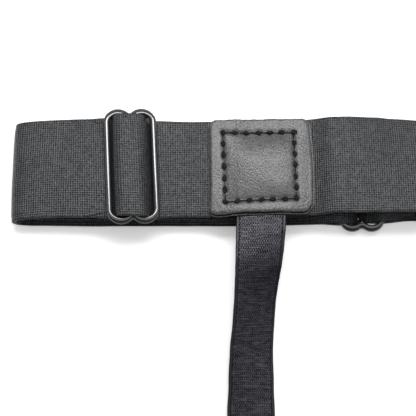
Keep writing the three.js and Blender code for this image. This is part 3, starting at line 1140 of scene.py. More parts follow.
print(len(holes), "holes,", round((holes[1] - holes[0]).length, 2), "mm apart")

# %% How the sewing draws the leather down
Pull = namedtuple("Pull", "deep wide")
BESIDE_SEAM = Pull(0.22, 1.3)
IN_GROOVE = Pull(0.3, 0.6)
AT_HOLE = Pull(0.5, 0.95)
# The lower seam was drawn tighter, which fades out above it
LOW_SEAM = Pull(0.25, 1.1)
LOW_SEAM_FADES = (1, 4)
SEAM_REACH = 5


def drawn_down(pull, distance):
    return pull.deep * bell(distance, pull.wide)


def sewing_pull(x, y):
    """How deep the sewing draws the leather down at a place."""
    off = off_seam(x, y)
    if off > SEAM_REACH:
        return 0
    low = drawn_down(LOW_SEAM, off) * (1 - smoothstep(y, *LOW_SEAM_FADES))
    hole = drawn_down(AT_HOLE, off_holes(Vector((x, y))))
    return drawn_down(BESIDE_SEAM, off) + drawn_down(IN_GROOVE, off) + hole + low


print("deepest at a hole:", round(sewing_pull(*holes[0]), 2), "mm")

# %% [markdown]
# ## What lies under the leather
#
# The front patch lies on the band and over the strap's end, so its foot follows the band's slope and
# rises over the strap with a soft slope beside it. The back patch hangs under the band, with one lower
# corner curled up. A Shrinkwrap modifier could lay them on the cloth, but would press its ripples through
# the leather. Reading both heights off the band's own run keeps the layers apart just as well.

# %% The patches' feet
SLOPE_WIDTH = 4.5
CLEAR_OF_STRAP = 4 * GAP
# The back patch's lower right corner rises by this much, from here to there
CORNER_CURL = 1.2
CURL_RIGHT = (30, 44)
CURL_LOW = (-8, -4.6)


def strap_lift(x, y):
    """How far the strap underneath raises the leather's foot."""
    beside = abs(x - STRAP_X) - STRAP_WIDTH / 2 - CLEAR_OF_STRAP
    above = y - STRAP_TOP - CLEAR_OF_STRAP
    return (STRAP_THICK + GAP) * (1 - smoothstep(max(beside, above), 0, SLOPE_WIDTH))


def front_foot(x, y):
    return front_height(x) + BAND_THICK / 2 + GAP + strap_lift(x, y)


def back_foot(x, y):
    curl = CORNER_CURL * smoothstep(x, *CURL_RIGHT) * (1 - smoothstep(y, *CURL_LOW))
    return front_height(x) - BAND_THICK / 2 - GAP - BACK_PATCH.thick + curl


print("the strap lifts the leather", round(strap_lift(STRAP_X, 0), 2), "mm")

# %% [markdown]
# ## The puffed middle
#
# Inside the sewn square the leather is padded by the strap and puffs up, highest a little right of its
# middle. It sinks to the upper seam in a round dent, and to the lower one sooner on the left than on the
# right. A simulated cushion would take such a form too, but with its dents elsewhere than in the picture.
# So the form is written as a few soft steps, each read off the picture.

# %% Dent and slope
UPPER_SEAM_Y = 28.8
# Where the dent starts, how much higher that is at the right, and from where to where it rises
DENT_FROM = 15.4
DENT_HIGHER = 2.5
DENT_HIGHER_FROM = (25, 32)
# Where the slope to the lower seam starts: at the left edge, how fast it falls to the right, and at least
SLOPE_FROM = 29.5
SLOPE_FALLS = 0.75
SLOPE_LEAST = 9.5


def upper_dent(x, y):
    """How far the middle has sunk towards the upper seam."""
    start = DENT_FROM + DENT_HIGHER * smoothstep(x, *DENT_HIGHER_FROM)
    return min(1, max(0, (y - start) / (UPPER_SEAM_Y - start)) ** 2)


def low_slope(x, y):
    """How far the inside has sunk towards the lower seam: sooner on the left, steepest at the seam."""
    start = max(SLOPE_LEAST, SLOPE_FROM - SLOPE_FALLS * x)
    return max(0, (start - y) / start) ** 2 * inside_seam(x, y)


print("dent and slope at 20, 24:", round(upper_dent(20, 24), 2), round(low_slope(20, 24), 2))

# %% How high the outside stands
PUFF = 0.9
PUFF_X = 24
# How far the puff reaches to the left and to the right of its top
PUFF_LEFT = 20
PUFF_RIGHT = 13.5
DENT_WIDE = 13
# Which shares of the strap's lift are lost beside it, above, to the right and below, and from where on
LOST_BESIDE = 0.55
BESIDE_STRAP = (5, 20)
LOST_ABOVE = 0.3
ABOVE = (16, 29)
LOST_MORE = 1.15
MORE_TO_THE_RIGHT = (6, 18)
LOST_BELOW = 0.8
LOST_OFF_STRAP = 0.35
OFF_STRAP = (8, 12)


def top_lift(x, y):
    """How high the strap underneath and the padding raise the leather's outside."""
    off_strap = abs(x - STRAP_X)
    beside = 1 - LOST_BESIDE * smoothstep(off_strap, *BESIDE_STRAP)
    middle = bell(x - PUFF_X, DENT_WIDE)
    dent = upper_dent(x, y)
    drop = LOST_ABOVE + LOST_MORE * smoothstep(x, *MORE_TO_THE_RIGHT)
    end = 1 - drop * (middle * dent + (1 - middle) * smoothstep(y, *ABOVE))
    below = low_slope(x, y)
    low = 1 - (LOST_BELOW + LOST_OFF_STRAP * smoothstep(off_strap, *OFF_STRAP)) * below
    side = (x - PUFF_X) / (PUFF_LEFT if x < PUFF_X else PUFF_RIGHT)
    puff = PUFF * max(0, 1 - side * side) * (1 - dent) * (1 - below) * inside_seam(x, y)
    return (STRAP_THICK + GAP) * beside * end * low + puff


print("the middle stands", round(top_lift(PUFF_X, 14), 2), "mm over a bare foot")

# %% Relief of the two patches
SOFT = 0.12
SOFT_LONG = 7
SOFT_LAYER = 20
# The right edge was pared thinner
SKIVED = 0.55
SKIVED_FROM = (35.8, 42.5)
# The lower border sinks at its two ends
LOW_ENDS = 0.45
LEFT_END = (5, 12)
RIGHT_END = (32, 37)
LOW_BORDER = (-6, 6)
# Fine creases curve round the lower right corner
CREASE = 1.4
CREASE_DEEP = 0.05
CREASE_LONG = 3
CREASE_LAYER = 11
CREASED = (39.5, -1.5)
CREASED_WIDE = 3.5
CREASES_ROUND = (34, 6)
THINNEST = 0.3
BACK_SOFT = 0.05
BACK_LONG = 6
BACK_LAYER = 60


def creases(x, y):
    corner = bell(math.dist((x, y), CREASED), CREASED_WIDE)
    around = math.dist((x, y), CREASES_ROUND) + ripple(x, y, CREASE_LAYER, CREASE_LONG)
    return CREASE_DEEP * corner * math.cos(2 * math.pi * around / CREASE)


def front_relief(x, y):
    low_ends = 1 - smoothstep(x, *LEFT_END) + smoothstep(x, *RIGHT_END)
    low_ends *= smoothstep(-y, *LOW_BORDER)
    soft = SOFT * ripple(x, y, SOFT_LAYER, SOFT_LONG)
    soft -= SKIVED * smoothstep(x, *SKIVED_FROM) + LOW_ENDS * low_ends
    soft += creases(x, y)
    thin = soft + top_lift(x, y) - strap_lift(x, y) - sewing_pull(x, y)
    return max(thin, THINNEST - FRONT_PATCH.thick)


def back_relief(x, y):
    return -BACK_SOFT * (1 + ripple(x, y, BACK_LAYER, BACK_LONG))


print("relief at the middle:", round(front_relief(21, 14), 2), "mm")

# %% [markdown]
# ## Where the leather is dark
#
# The cut edge was dyed, and painted shade is added on it, most on its lower side and in the groove under
# its shoulder. The seam's groove is soiled by the waxed thread and painted with shade as well, and each
# hole is painted dark as the shade in it. The back patch is painted dark all over, for its dark flesh side
# and the deep shade under the band. These marks follow the mesh and not a pattern, so they are kept as one
# value for each vertex, which the material reads later. A painted image would do the same but would have to
# be stored beside the script.

# %% Dye and painted shade
# How dark the groove of the seam is between two holes, soiled and painted with shade, how wide, and how
# soft it ends
SOILED_AND_SHADED = 0.5
SOILED_AND_SHADED_WIDE = 0.25
SOILED_AND_SHADED_SOFT = 0.4
# Each hole is painted dark: painted shade in the hole
HOLE_SHADE = 0.95
HOLE_WIDE = 0.45
HOLE_SOFT = 0.5
# The share of its darkness that the left edge took, and how much less the right one and more the upper one
# took. The lower edge took it all. The difference from edge to edge is painted shade, darkest on the lower
# edge that faces the dark near side.
LEFT_DYE_AND_SHADE = 0.4
RIGHT_DYE_AND_SHADE = -0.3
UPPER_DYE_AND_SHADE = 0.5
# Where on the blank, from -1 to 1, the right edge and the upper and lower ones begin, and the outermost
# row of its cells
RIGHT_FROM = 0.5
ENDS_FROM = 0.8
OUTERMOST = 0.999
# The back patch is painted dark all over: its dark flesh side, and painted shade for the deep shade under
# the band
BACK_FLESH_AND_SHADE = 0.93


def dye_soil_and_shade_at(u, v, w, ring, spot, patch):
    """How dark a place is, from 0 to 1. u, v and w are its place on the blank, spot is in mm."""
    # The edge's darkness is dyeing with painted shade, which differs from edge to edge
    took = LEFT_DYE_AND_SHADE + RIGHT_DYE_AND_SHADE * smoothstep(u, RIGHT_FROM, 1) + UPPER_DYE_AND_SHADE * smoothstep(v, ENDS_FROM, 1)
    on_edge = max(abs(u), abs(v)) > OUTERMOST
    dye = ring.dye * (took + (1 - took) * smoothstep(-v, ENDS_FROM, 1)) if on_edge else 0
    if patch is BACK_PATCH:
        return BACK_FLESH_AND_SHADE + (1 - BACK_FLESH_AND_SHADE) * dye
    if w == 0:
        return dye
    # The groove is soiled and painted with shade, and each hole is painted with shade
    groove = SOILED_AND_SHADED * bell(max(0, off_seam(*spot) - SOILED_AND_SHADED_WIDE), SOILED_AND_SHADED_SOFT)
    hole = HOLE_SHADE * bell(max(0, off_holes(spot) - HOLE_WIDE), HOLE_SOFT)
    return max(dye, groove, hole)


print("dye at a hole:", round(dye_soil_and_shade_at(0, 0, 1, EDGE_RINGS[-1], holes[0], FRONT_PATCH), 2))

# %% Patches


def leather(name, patch, foot, relief, node):
    mesh = patch_blank()
    # One value for each vertex: dyed edge and soiled groove, with painted shade on the edge, the groove and
    # the holes
    rim = mesh.verts.layers.float.new("rim")
    for vert in mesh.verts:
        u, v, w = vert.co
        ring = EDGE_RINGS[round(w * (len(EDGE_RINGS) - 1))]
        spot = on_patch(u, v, ring, patch)
        lift = foot(*spot) + ring.height * (patch.thick + relief(*spot))
        vert[rim] = dye_soil_and_shade_at(u, v, w, ring, spot, patch)
        vert.co = place(*spot, lift)
    return piece(name, mesh, [node])


patches = [
    leather("patch_front_leather", FRONT_PATCH, front_foot, front_relief, "patch_front"),
    leather("patch_back_leather", BACK_PATCH, back_foot, back_relief, "patch_back"),
]

# %% [markdown]
# ## The stitches
#
# Thick dark thread runs from hole to hole. At each hole it swells to a lump of two strands, pulled down
# in the leather, and between the lumps it lies thin in the groove. A curve with a bevel would make an
# even cord, and here the unevenness is what shows. So a low-polygon ball from `create_uvsphere` is
# stretched to each strand and each run, and noise moves it a little.

# %% A ball for each piece of thread
BALL_SIDES = 12
BALL_RINGS = 8
UNEVEN_LONG = 0.8
thread = bmesh.new()


def bead(middle, way, size, sunk, uneven):
    """A ball stretched to size, laid along way, and sunk from where the unsewn leather's outside was."""
    x, y = middle
    height = front_foot(x, y) + FRONT_PATCH.thick + front_relief(x, y) + sewing_pull(x, y) - sunk
    matrix = (
        Matrix.Translation(place(x, y, height))
        @ Matrix.Rotation(math.atan2(way.y, way.x), 4, "Z")
        @ Matrix.Diagonal([side / 2 * MM for side in size] + [1])
    )
    made = bmesh.ops.create_uvsphere(
        thread, u_segments=BALL_SIDES, v_segments=BALL_RINGS, radius=1, matrix=matrix
    )["verts"]
    for vert in made:
        vert.co += uneven * MM * noise.noise_vector(vert.co / (UNEVEN_LONG * MM))


print("thread's unevenness is", UNEVEN_LONG, "mm long")

# %% Lumps of two strands
# longer and wider are what chance adds or takes at most, sunk is how deep the middle lies
Strand = namedtuple("Strand", "long longer wide wider high sunk")
FIRST_STRAND = Strand(long=2.9, longer=0.9, wide=1.9, wider=0.5, high=1.3, sunk=0.64)
SECOND_STRAND = Strand(long=2.2, longer=1.2, wide=1.3, wider=0, high=1.1, sunk=0.66)
# How far a lump is off its hole, and its second strand off the first
LUMP_OFF = 0.45
STRAND_OFF = 0.9
SLANT = 10
SLANT_CHANCE = 40
STRAND_TURN = 60
UNEVEN_LUMP = 0.4


def strand(kind, middle, way, degrees, chance_long, chance_wide):
    size = (kind.long + kind.longer * chance_long, kind.wide + kind.wider * chance_wide, kind.high)
    turned = Matrix.Rotation(math.radians(degrees), 2) @ way
    bead(middle, turned, size, kind.sunk, UNEVEN_LUMP)


def lump(hole, way, chance):
    middle = hole + LUMP_OFF * chance.xy
    strand(FIRST_STRAND, middle, way, SLANT + SLANT_CHANCE * chance.x, chance.y, chance.z)
    beside = middle + STRAND_OFF * chance.yz
    strand(SECOND_STRAND, beside, way, STRAND_TURN * chance.z, chance.x, 0)


print("a lump is", FIRST_STRAND.long, "mm long on average")

# %% Runs between the lumps, and the whole thread
RUN_LONG = 1.02
RUN_HIGH = 0.9
# How wide a run is, how much wider one is that runs from left to right, and what chance adds at most
RUN_WIDE = 0.5
LEVEL_WIDER = 0.3
CHANCE_WIDER = 0.9
# How deep its middle lies, what chance changes in that at most, and how much higher the upper seam's
# runs lie
RUN_SUNK = 0.34
CHANCE_SUNK = 0.15
UPPER_HIGHER = 0.12
UPPER_SEAM = (20, 25)
UNEVEN_RUN = 0.2
# Where the noise is read for each hole: so far apart, and in this row and layer
CHANCE_APART = 3.7
CHANCE_PLACE = (2.1, 0.6)


def run_between(hole, after, chance):
    way = after - hole
    middle = (hole + after) / 2
    level = abs(way.x) / way.length
    width = RUN_WIDE + LEVEL_WIDER * level + CHANCE_WIDER * max(0, chance.x)
    sunk = RUN_SUNK + CHANCE_SUNK * chance.y - UPPER_HIGHER * smoothstep(middle.y, *UPPER_SEAM)
    size = (way.length * RUN_LONG, width, RUN_HIGH)
    bead(middle, way, size, sewing_pull(*middle) + sunk, UNEVEN_RUN)


for i, hole in enumerate(holes):
    after = holes[(i + 1) % len(holes)]
    chance = noise.noise_vector(Vector((i * CHANCE_APART, *CHANCE_PLACE)))
    lump(hole, after - hole, chance)
    run_between(hole, after, chance)
stitching = piece("patch_thread", thread)

# %% [markdown]
# ## Helpers for finishes
#
# A finish is a small graph of nodes. In the editor each node is added and joined by hand, and in a script
# that takes three lines for each. These helpers do it in one, so that a material below reads as a list of
# what the real surface has.

# %% Adding and joining nodes


class Nodes:
    """The nodes of a material or a world, and the shader that they feed."""

    def __init__(self, owner, shader, **constants):
        owner.use_nodes = True
        self.owner = owner
        self.nodes = owner.node_tree.nodes
        self.links = owner.node_tree.links
        self.shader = self.nodes[shader]
        self.feed(self.shader, constants)

    def feed(self, node, inputs):
        """Join outputs to a node's sockets, or set these. A name such as i1 means the socket's number."""
        for name, value in inputs.items():
            numbered = name[0] == "i" and name[1:].isdigit()
            socket = node.inputs[int(name[1:]) if numbered else name.replace("_", " ")]
            if isinstance(value, bpy.types.NodeSocket):
                self.links.new(value, socket)
            else:
                socket.default_value = value

    def add(self, kind, output=0, settings=(), **inputs):
        made = self.nodes.new(kind)
        for key, value in dict(settings).items():
            setattr(made, key, value)
        self.feed(made, inputs)
        return made.outputs[output]


sample = Nodes(bpy.data.materials.new("sample"), "Principled BSDF")
print("a material's shader has", len(sample.shader.inputs), "sockets")
bpy.data.materials.remove(sample.owner)

# %% Arithmetic, noise and colour


class Graph(Nodes):
    """Nodes by what they are for."""

    def math(self, operation, a, b=0.0):
        return self.add("ShaderNodeMath", settings={"operation": operation}, i0=a, i1=b)

    def times(self, a, b):
        return self.math("MULTIPLY", a, b)

    def less(self, a, b):
        return self.math("SUBTRACT", a, b)

    def total(self, start, *parts):
        """start, and each part times its share."""
        for value, share in parts:
            start = self.math("ADD", start, self.times(value, share))
        return start

    def vector(self, operation, **inputs):
        return self.add("ShaderNodeVectorMath", settings={"operation": operation}, **inputs)

    def split(self, vector):
        parts = self.nodes.new("ShaderNodeSeparateXYZ")
        self.links.new(vector, parts.inputs[0])
        return parts.outputs

    def wave(self, value, periods):
        return self.math("COSINE", self.times(value, 2 * math.pi * periods))

    def noise(self, output=0, dimensions="3D", **inputs):
        return self.add("ShaderNodeTexNoise", output, {"noise_dimensions": dimensions}, **inputs)

    def dice(self, dimensions, vector):
        """Chance from -0.5 to 0.5, one throw for each whole number."""
        made = self.add("ShaderNodeTexWhiteNoise", settings={"noise_dimensions": dimensions}, Vector=vector)
        return self.less(made, 0.5)

    def ramp(self, value, low, high, **inputs):
        return self.add("ShaderNodeMapRange", Value=value, From_Min=low, From_Max=high, **inputs)

    def blend(self, share, one, other):
        return self.add("ShaderNodeMix", 2, {"data_type": "RGBA"}, i0=share, i6=one, i7=other)

    def finish(self, height, depth, **sockets):
        bump = self.add("ShaderNodeBump", Distance=depth, Height=height)
        self.feed(self.shader, {"Normal": bump, **sockets})
        return self.owner


def finish_graph(name, **constants):
    return Graph(bpy.data.materials.new(name), "Principled BSDF", **constants)


print("a graph can make:", ", ".join(name for name in vars(Graph) if name[0] != "_"))

# %% [markdown]
# ## Woven elastic
#
# The band is woven in small squares of about 0.9 mm, as wide elastic is: cords run along it and the weft
# runs across. Where one is drawn tighter the other shows less, so the grain wavers between stripes one
# way and stripes the other. An image of cloth would repeat and blur when seen close. The pattern here is
# two cosines on the cloth's own UV map, each weighed by slow noise, with a little chance in each square.
# Only the tops of the yarn are grey and shine, and the gaps between are black.

# %% Band elastic
# A square's length along the band and width across it
BAND_CELL = (0.93, 0.905)
BAND_DEEP = 0.2
BAND_BLACK = (0.001, 0.001, 0.001, 1)
BAND_GREY = (0.048, 0.049, 0.053, 1)
# How far the squares are bent out of line
WARP = 0.3
# The yarn goes dark from 0.4 mm inside the band's edge to 0.1 mm outside it
BAND_EDGE = (0.1, -0.4)


def band_elastic():
    graph = finish_graph("band_elastic", Roughness=0.36, Specular_Tint=(0.94, 0.97, 1.0, 1))
    cloth = graph.add("ShaderNodeUVMap", settings={"uv_map": "cloth"})
    warp = graph.noise(1, Vector=cloth, Scale=160.0, Detail=1.0)
    warp = graph.vector("SCALE", Vector=warp, Scale=WARP * MM)
    bent = graph.vector("ADD", i0=cloth, i1=warp)
    per_metre = (1 / (BAND_CELL[0] * MM), 1 / (BAND_CELL[1] * MM), 1.0)
    cells = graph.add("ShaderNodeMapping", Vector=bent, Scale=per_metre)
    along_band, across_band, _ = graph.split(cells)
    slow = graph.noise(Vector=cells, Scale=0.16, Detail=2.0, Roughness=0.6)
    weft = graph.times(graph.wave(along_band, 1), graph.math("ADD", slow, 0.2))
    cords = graph.times(graph.wave(across_band, 1), graph.less(1.1, slow))
    fine = graph.less(graph.noise(Vector=cells, Scale=1.4, Detail=3.0, Roughness=0.7), 0.5)
    chance = graph.dice("3D", graph.vector("FLOOR", Vector=cells))
    grain = graph.math("ADD", weft, cords)
    # How high the yarn stands: half way up, and each part times its share
    height = graph.total(0.5, (grain, 0.26), (fine, 0.7), (chance, 0.2))
    off_middle = graph.math("ABSOLUTE", graph.split(cloth)[1])
    outer, inner = [(BAND_WIDTH / 2 + off) * MM for off in BAND_EDGE]
    yarn = graph.times(graph.ramp(height, 0.0, 1.0), graph.ramp(off_middle, outer, inner))
    color = graph.blend(yarn, BAND_BLACK, BAND_GREY)
    gloss = graph.times(yarn, 0.8)
    return graph.finish(height, BAND_DEEP * MM, Base_Color=color, Specular_IOR_Level=gloss)


band.data.materials.append(band_elastic())
print("squares across the band:", round(BAND_WIDTH / BAND_CELL[1]))

# %% [markdown]
# ## Ribbed elastic
#
# The strap is a denser elastic. Its weft lies in fine ribs across. Between them are short floats that
# step from rib to rib, and each short stretch of a row, set like a brick in a wall, is a little higher or
# lower than the next. Here and there a row shines along a few millimetres, where the yarn lies flat. Each
# selvedge is a smooth strip marked off by a line of small dots. A photographed cloth would give all that
# at one scale only. Here ribs and floats are cosines again, the bricks are one throw of chance for each,
# and the shining stretches are noise that differs from row to row and changes slowly along a row.

# %% The strap's rows
RIB = 0.935
# Length of a stretch of a row, and how far each row's are set off from the last's, as a share of it
BRICK = 1.2
BRICK_STEP = 0.37
SHINE_LONG = 6
# From row to row the shine changes as if the rows lay this many waves apart
SHINE_APART = 7.3


def chance_in_rows(graph, row, side):
    in_row = graph.math("ADD", graph.math("DIVIDE", side, BRICK * MM), graph.times(row, BRICK_STEP))
    brick = graph.add("ShaderNodeCombineXYZ", X=row, Y=graph.math("FLOOR", in_row))
    return graph.dice("2D", brick)


# A shining row is raised yarn, so it is glossier and its bump higher, and its colour is lighter as well:
# that lighter colour is a painted highlight
def shining_rows(graph, row, side, slow):
    stretch = graph.add(
        "ShaderNodeCombineXYZ",
        X=graph.times(row, SHINE_APART),
        Y=graph.math("DIVIDE", side, SHINE_LONG * MM),
    )
    shine = graph.noise(0, "2D", Vector=stretch, Scale=1.0, Detail=0.0)
    share = graph.less(0.45, graph.times(slow, 0.2))
    return graph.less(graph.times(graph.ramp(shine, 0.55, 0.8), share), 0.03)


print("stretches in a row:", round(STRAP_WIDTH / BRICK, 1))

# %% The strap's weave
FLOAT = 1.03
CORD = 0.88
# Near the patch the floats stand out, up to 46 mm along the strap, and past 56 mm they waver
FLOATS_END = (56, 46)


def ribbed_weave(graph, cloth, run, side):
    """How high the yarn stands inside the selvedges."""
    slow = graph.ramp(graph.noise(Vector=cloth, Scale=120.0, Detail=2.0), 0.35, 0.65)
    slow = graph.math("MAXIMUM", slow, graph.ramp(run, FLOATS_END[0] * MM, FLOATS_END[1] * MM))
    row = graph.math("FLOOR", graph.math("DIVIDE", run, RIB / 2 * MM))
    pairs = graph.wave(run, 0.5 / (RIB * MM))
    floats = graph.times(graph.wave(side, 1 / (FLOAT * MM)), pairs)
    weave = graph.times(graph.wave(run, 1 / (RIB * MM)), graph.less(0.15, graph.times(slow, 0.09)))
    streak = graph.less(graph.noise(0, "1D", W=run, Scale=900.0, Detail=1.0), 0.5)
    cloud = graph.less(graph.noise(Vector=cloth, Scale=230.0, Detail=2.0), 0.5)
    weave = graph.total(
        weave,
        (floats, graph.total(0.1, (slow, 0.24))),
        (graph.wave(side, 1 / (CORD * MM)), 0.13),
        (chance_in_rows(graph, row, side), 0.33),
    )
    weave = graph.math("ADD", weave, shining_rows(graph, row, side, slow))
    return graph.total(weave, (streak, 0.28), (cloud, 0.35))


# %% Strap elastic
LINE_HALF = 0.22
STRAP_DEEP = 0.09
STRAP_BLACK = (0.001, 0.001, 0.001, 1)
STRAP_GREY = (0.021, 0.02, 0.027, 1)
# The outermost yarn lies lower, from here to there off the middle
STRAP_EDGE = (9.7, 10.1)


def strap_elastic():
    graph = finish_graph("strap_elastic", Roughness=0.3, Specular_Tint=(0.92, 0.91, 1.0, 1))
    cloth = graph.add("ShaderNodeUVMap", settings={"uv_map": "cloth"})
    run, side, _ = graph.split(cloth)
    line_at = (STRAP_WIDTH / 2 - SELVEDGE) * MM
    off_middle = graph.math("ABSOLUTE", side)
    inner = graph.math("LESS_THAN", off_middle, line_at)
    off_line = graph.math("ABSOLUTE", graph.less(off_middle, line_at))
    line = graph.math("LESS_THAN", off_line, LINE_HALF * MM)
    fine = graph.less(graph.noise(Vector=cloth, Scale=1700.0, Detail=3.0, Roughness=0.7), 0.5)
    dots = graph.times(graph.ramp(fine, 0.1, -0.15), -0.7)
    weave = graph.times(ribbed_weave(graph, cloth, run, side), inner)
    height = graph.total(graph.math("ADD", weave, 0.5), (fine, 0.7), (line, dots))
    edge = graph.ramp(off_middle, STRAP_EDGE[0] * MM, STRAP_EDGE[1] * MM)
    height = graph.less(height, graph.times(edge, 0.2))
    smooth = graph.times(graph.less(1.0, inner), 0.06)
    yarn = graph.ramp(graph.less(height, smooth), 0.0, 1.0)
    color = graph.blend(yarn, STRAP_BLACK, STRAP_GREY)
    gloss = graph.times(yarn, 0.5)
    return graph.finish(height, STRAP_DEEP * MM, Base_Color=color, Specular_IOR_Level=gloss)


strap.data.materials.append(strap_elastic())
print("nodes of the strap's finish:", len(strap.data.materials[-1].node_tree.nodes))

# %% [markdown]
# ## Grey leather
#
# The leather has a fine pebble grain, a soft sheen and slow changes of tone. Voronoi cells are the pebbles
# and noise breaks them up, and both raise the surface as well as lighten it, as worn tops do. The grain
# could be displaced, but it is nearly as fine as the faces of the mesh, so it is a bump. The vertex value
# of dyeing, soiling and painted shade darkens the dyed edge, the groove and the holes, and takes their
# gloss away. In the holes, in the groove and on the edge's lower side that darkness is painted shade.

# %% Leather
LEATHER_DARK = (0.045, 0.045, 0.046, 1)
LEATHER_LIGHT = (0.11, 0.11, 0.111, 1)
# The colour of the dyed edge and soiled groove, and of the painted shade on the edge, the groove and the
# holes
DYE_SOIL_AND_SHADE_COLOR = (0.004, 0.004, 0.0045, 1)
GRAIN_DEEP = 0.1


def grey_leather():
    graph = finish_graph("grey_leather")
    there = graph.add("ShaderNodeTexCoord", "Object")
    pebble = graph.add("ShaderNodeTexVoronoi", Vector=there, Scale=1400.0, Randomness=1.0)
    grain = graph.noise(Vector=there, Scale=1300.0, Detail=3.0, Roughness=0.6)
    slow = graph.noise(Vector=there, Scale=70.0, Detail=2.0)
    height = graph.less(graph.times(grain, 1.2), pebble)
    tone = graph.math("ADD", graph.times(height, 0.8), graph.times(slow, 0.4))
    # The vertex value paints the dyed edge and soiled groove darker, with painted shade on the edge, the
    # groove and the holes
    rim = graph.add("ShaderNodeAttribute", "Fac", {"attribute_name": "rim"})
    color = graph.blend(graph.ramp(tone, -0.1, 0.6), LEATHER_DARK, LEATHER_LIGHT)
    color = graph.blend(rim, color, DYE_SOIL_AND_SHADE_COLOR)
    roughness = graph.total(0.2, (grain, 0.2))
    gloss = graph.less(0.49, graph.times(rim, 0.4))
    return graph.finish(
        height, GRAIN_DEEP * MM, Base_Color=color, Roughness=roughness, Specular_IOR_Level=gloss
    )


for patch in patches:
    patch.data.materials.append(grey_leather())
    print(patch.name, "is finished in", patch.data.materials[-1].name)

# %% [markdown]
# ## Black thread and black nickel
#
# The thread is waxed and nearly black, with a faint twist. The slides are plated in black nickel, a dark
# metal that mirrors the lamp, the white table and the dark side of the room. It could be enamel, black
# with a clear coat, but that mirrors little except at grazing angles. So it is a metal with a dark colour
# and low roughness. The clip has the same plating, only duller.

# %% Thread and nickel
THREAD_DARK = (0.003, 0.003, 0.004, 1)
THREAD_LIGHT = (0.014, 0.014, 0.018, 1)
THREAD_DEEP = 0.08
PLATING_DEEP = 0.01
# A metal's tint at grazing angles
GRAZING = (0.15, 0.15, 0.15, 1)
# The plating's tone clouds by a tenth, and is a little blue
CLOUD_DARK = (0.9, 0.9, 0.92)
CLOUD_LIGHT = (1.1, 1.1, 1.13)


def waxed_thread():
    graph = finish_graph("waxed_thread", Specular_IOR_Level=0.1, Roughness=0.5)
    there = graph.add("ShaderNodeTexCoord", "Object")
    twist = graph.noise(Vector=there, Scale=2500.0, Detail=2.0)
    color = graph.blend(twist, THREAD_DARK, THREAD_LIGHT)
    return graph.finish(twist, THREAD_DEEP * MM, Base_Color=color)


def black_nickel(name, roughness, tone):
    graph = finish_graph(name, Metallic=0.85, Roughness=roughness, Specular_Tint=GRAZING)
    there = graph.add("ShaderNodeTexCoord", "Object")
    cloud = graph.noise(Vector=there, Scale=160.0, Detail=2.0)
    dark, light = [[tone * share for share in shares] + [1] for shares in (CLOUD_DARK, CLOUD_LIGHT)]
    return graph.finish(cloud, PLATING_DEEP * MM, Base_Color=graph.blend(cloud, dark, light))


stitching.data.materials.append(waxed_thread())
for slide in slides:
    slide.data.materials.append(black_nickel("black_nickel", 0.08, 0.108))
clip.data.materials.append(black_nickel("clip_nickel", 0.3, 0.12))
print("materials:", sorted(material.name for material in bpy.data.materials))

# %% [markdown]
# ## The table
#
# The table is a plain white board, bright enough to burn out in the picture. A white surface alone would
# need so much lamp light that the cloth turns grey, so the board also glows a little by itself, though it
# is no lamp: painted light that lightens the shadows on it and lights the edges of the lower ply from
# below. It lies a hair under the stay, so that nothing cuts it.

# %% Floor
FLOOR = 4
FLOOR_UNDER = 0.05
WHITE = (1, 1, 1, 1)
BOARD_WHITE = (0.9, 0.9, 0.9, 1)
# The board's glow is painted light: it lightens the shadows on the table
BOARD_GLOW = 0.27

floor_mesh = bmesh.new()
bmesh.ops.create_grid(floor_mesh, x_segments=1, y_segments=1, size=FLOOR / 2)
floor_data = bpy.data.meshes.new("floor")
floor_mesh.to_mesh(floor_data)
floor_mesh.free()
floor = bpy.data.objects.new("floor", floor_data)
floor.location = (0, 0, -FLOOR_UNDER * MM)
bpy.context.scene.collection.objects.link(floor)
board = finish_graph(
    "white_board",
    Base_Color=BOARD_WHITE,
    Roughness=0.9,
    Specular_IOR_Level=0.1,
    Emission_Color=WHITE,
    Emission_Strength=BOARD_GLOW,
)
floor.data.materials.append(board.owner)
print("floor:", FLOOR, "m wide")

# %% [markdown]
# ## The lamps
#
# Two softboxes light the stay. The key stands towards the far side, so that the near edges drop a short
# soft shadow and cloth that leans back a little catches its reflection. A wide weak one overhead keeps
# the rest from going black. Area lamps are used and not points, because their size sets how soft the
# shadows and how wide the highlights on the wire are.

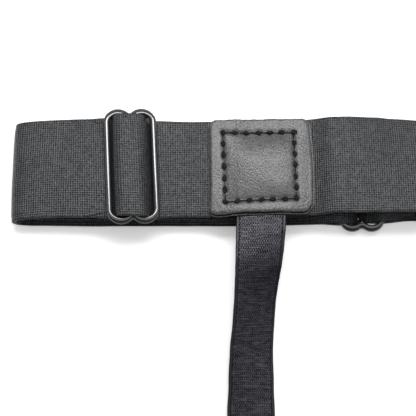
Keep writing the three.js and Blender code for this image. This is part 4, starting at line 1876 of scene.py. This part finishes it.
# %% Lamps
# Distance from the picture's middle and size in metres, the angles off the vertical in degrees
Softbox = namedtuple("Softbox", "name away back right size radiance")
SOFTBOXES = (
    Softbox("ceiling", 1.1, 0, 8, (1.6, 1.6), 0.66),
    Softbox("key", 1.0, 23, 3, (0.73, 0.3), 10.5),
)
for box in SOFTBOXES:
    lamp = bpy.data.lights.new(box.name, "AREA")
    lamp.shape = "RECTANGLE"
    lamp.size, lamp.size_y = box.size
    lamp.energy = box.radiance * math.pi * box.size[0] * box.size[1]
    made = bpy.data.objects.new(box.name, lamp)
    up = Vector((math.tan(math.radians(box.right)), math.tan(math.radians(box.back)), 1)).normalized()
    made.location = place(0, 0, 0) + box.away * up
    made.rotation_euler = (-up).to_track_quat("-Z", "Y").to_euler()
    bpy.context.scene.collection.objects.link(made)
    print(box.name, round(lamp.energy, 2), "W")

# %% [markdown]
# ## The room
#
# A white room fills the shadows, but on the near side, where the camera is, it is dark. Black wire shows
# that: without the dark side it would look grey. A black card beside the camera would do it as well, but
# would also shade the table. So the world itself is bright all round, except in the directions that point
# to the near side and up. The edges of the dark part are soft, and the board fills the picture, so the
# room is seen only in reflections.

# %% Room
ROOM = 0.56
DARK_FRONT = 0.85
# The parts of a direction, from -1 to 1, where the near side and the upper side begin and are full
NEAR_SIDE = (-0.35, -0.6)
UPPER_SIDE = (0.12, 0.25)

room = Graph(bpy.data.worlds.new("room"), "Background", Color=WHITE)
_, back, up = room.split(room.add("ShaderNodeTexCoord", "Generated"))
near = room.ramp(back, *NEAR_SIDE, To_Max=DARK_FRONT)
dark = room.times(near, room.ramp(up, *UPPER_SIDE))
room.feed(room.shader, {"Strength": room.ramp(dark, 0.0, 1.0, To_Min=ROOM, To_Max=0.0)})
bpy.context.scene.world = room.owner
bpy.context.scene.view_settings.view_transform = "Standard"
print("the room's near side is at", round(1 - DARK_FRONT, 2), "of the rest")

# %% [markdown]
# ## Check the size and finish
# Dressing should hardly change the stay's size. Both boxes could be compared by eye in the viewport.
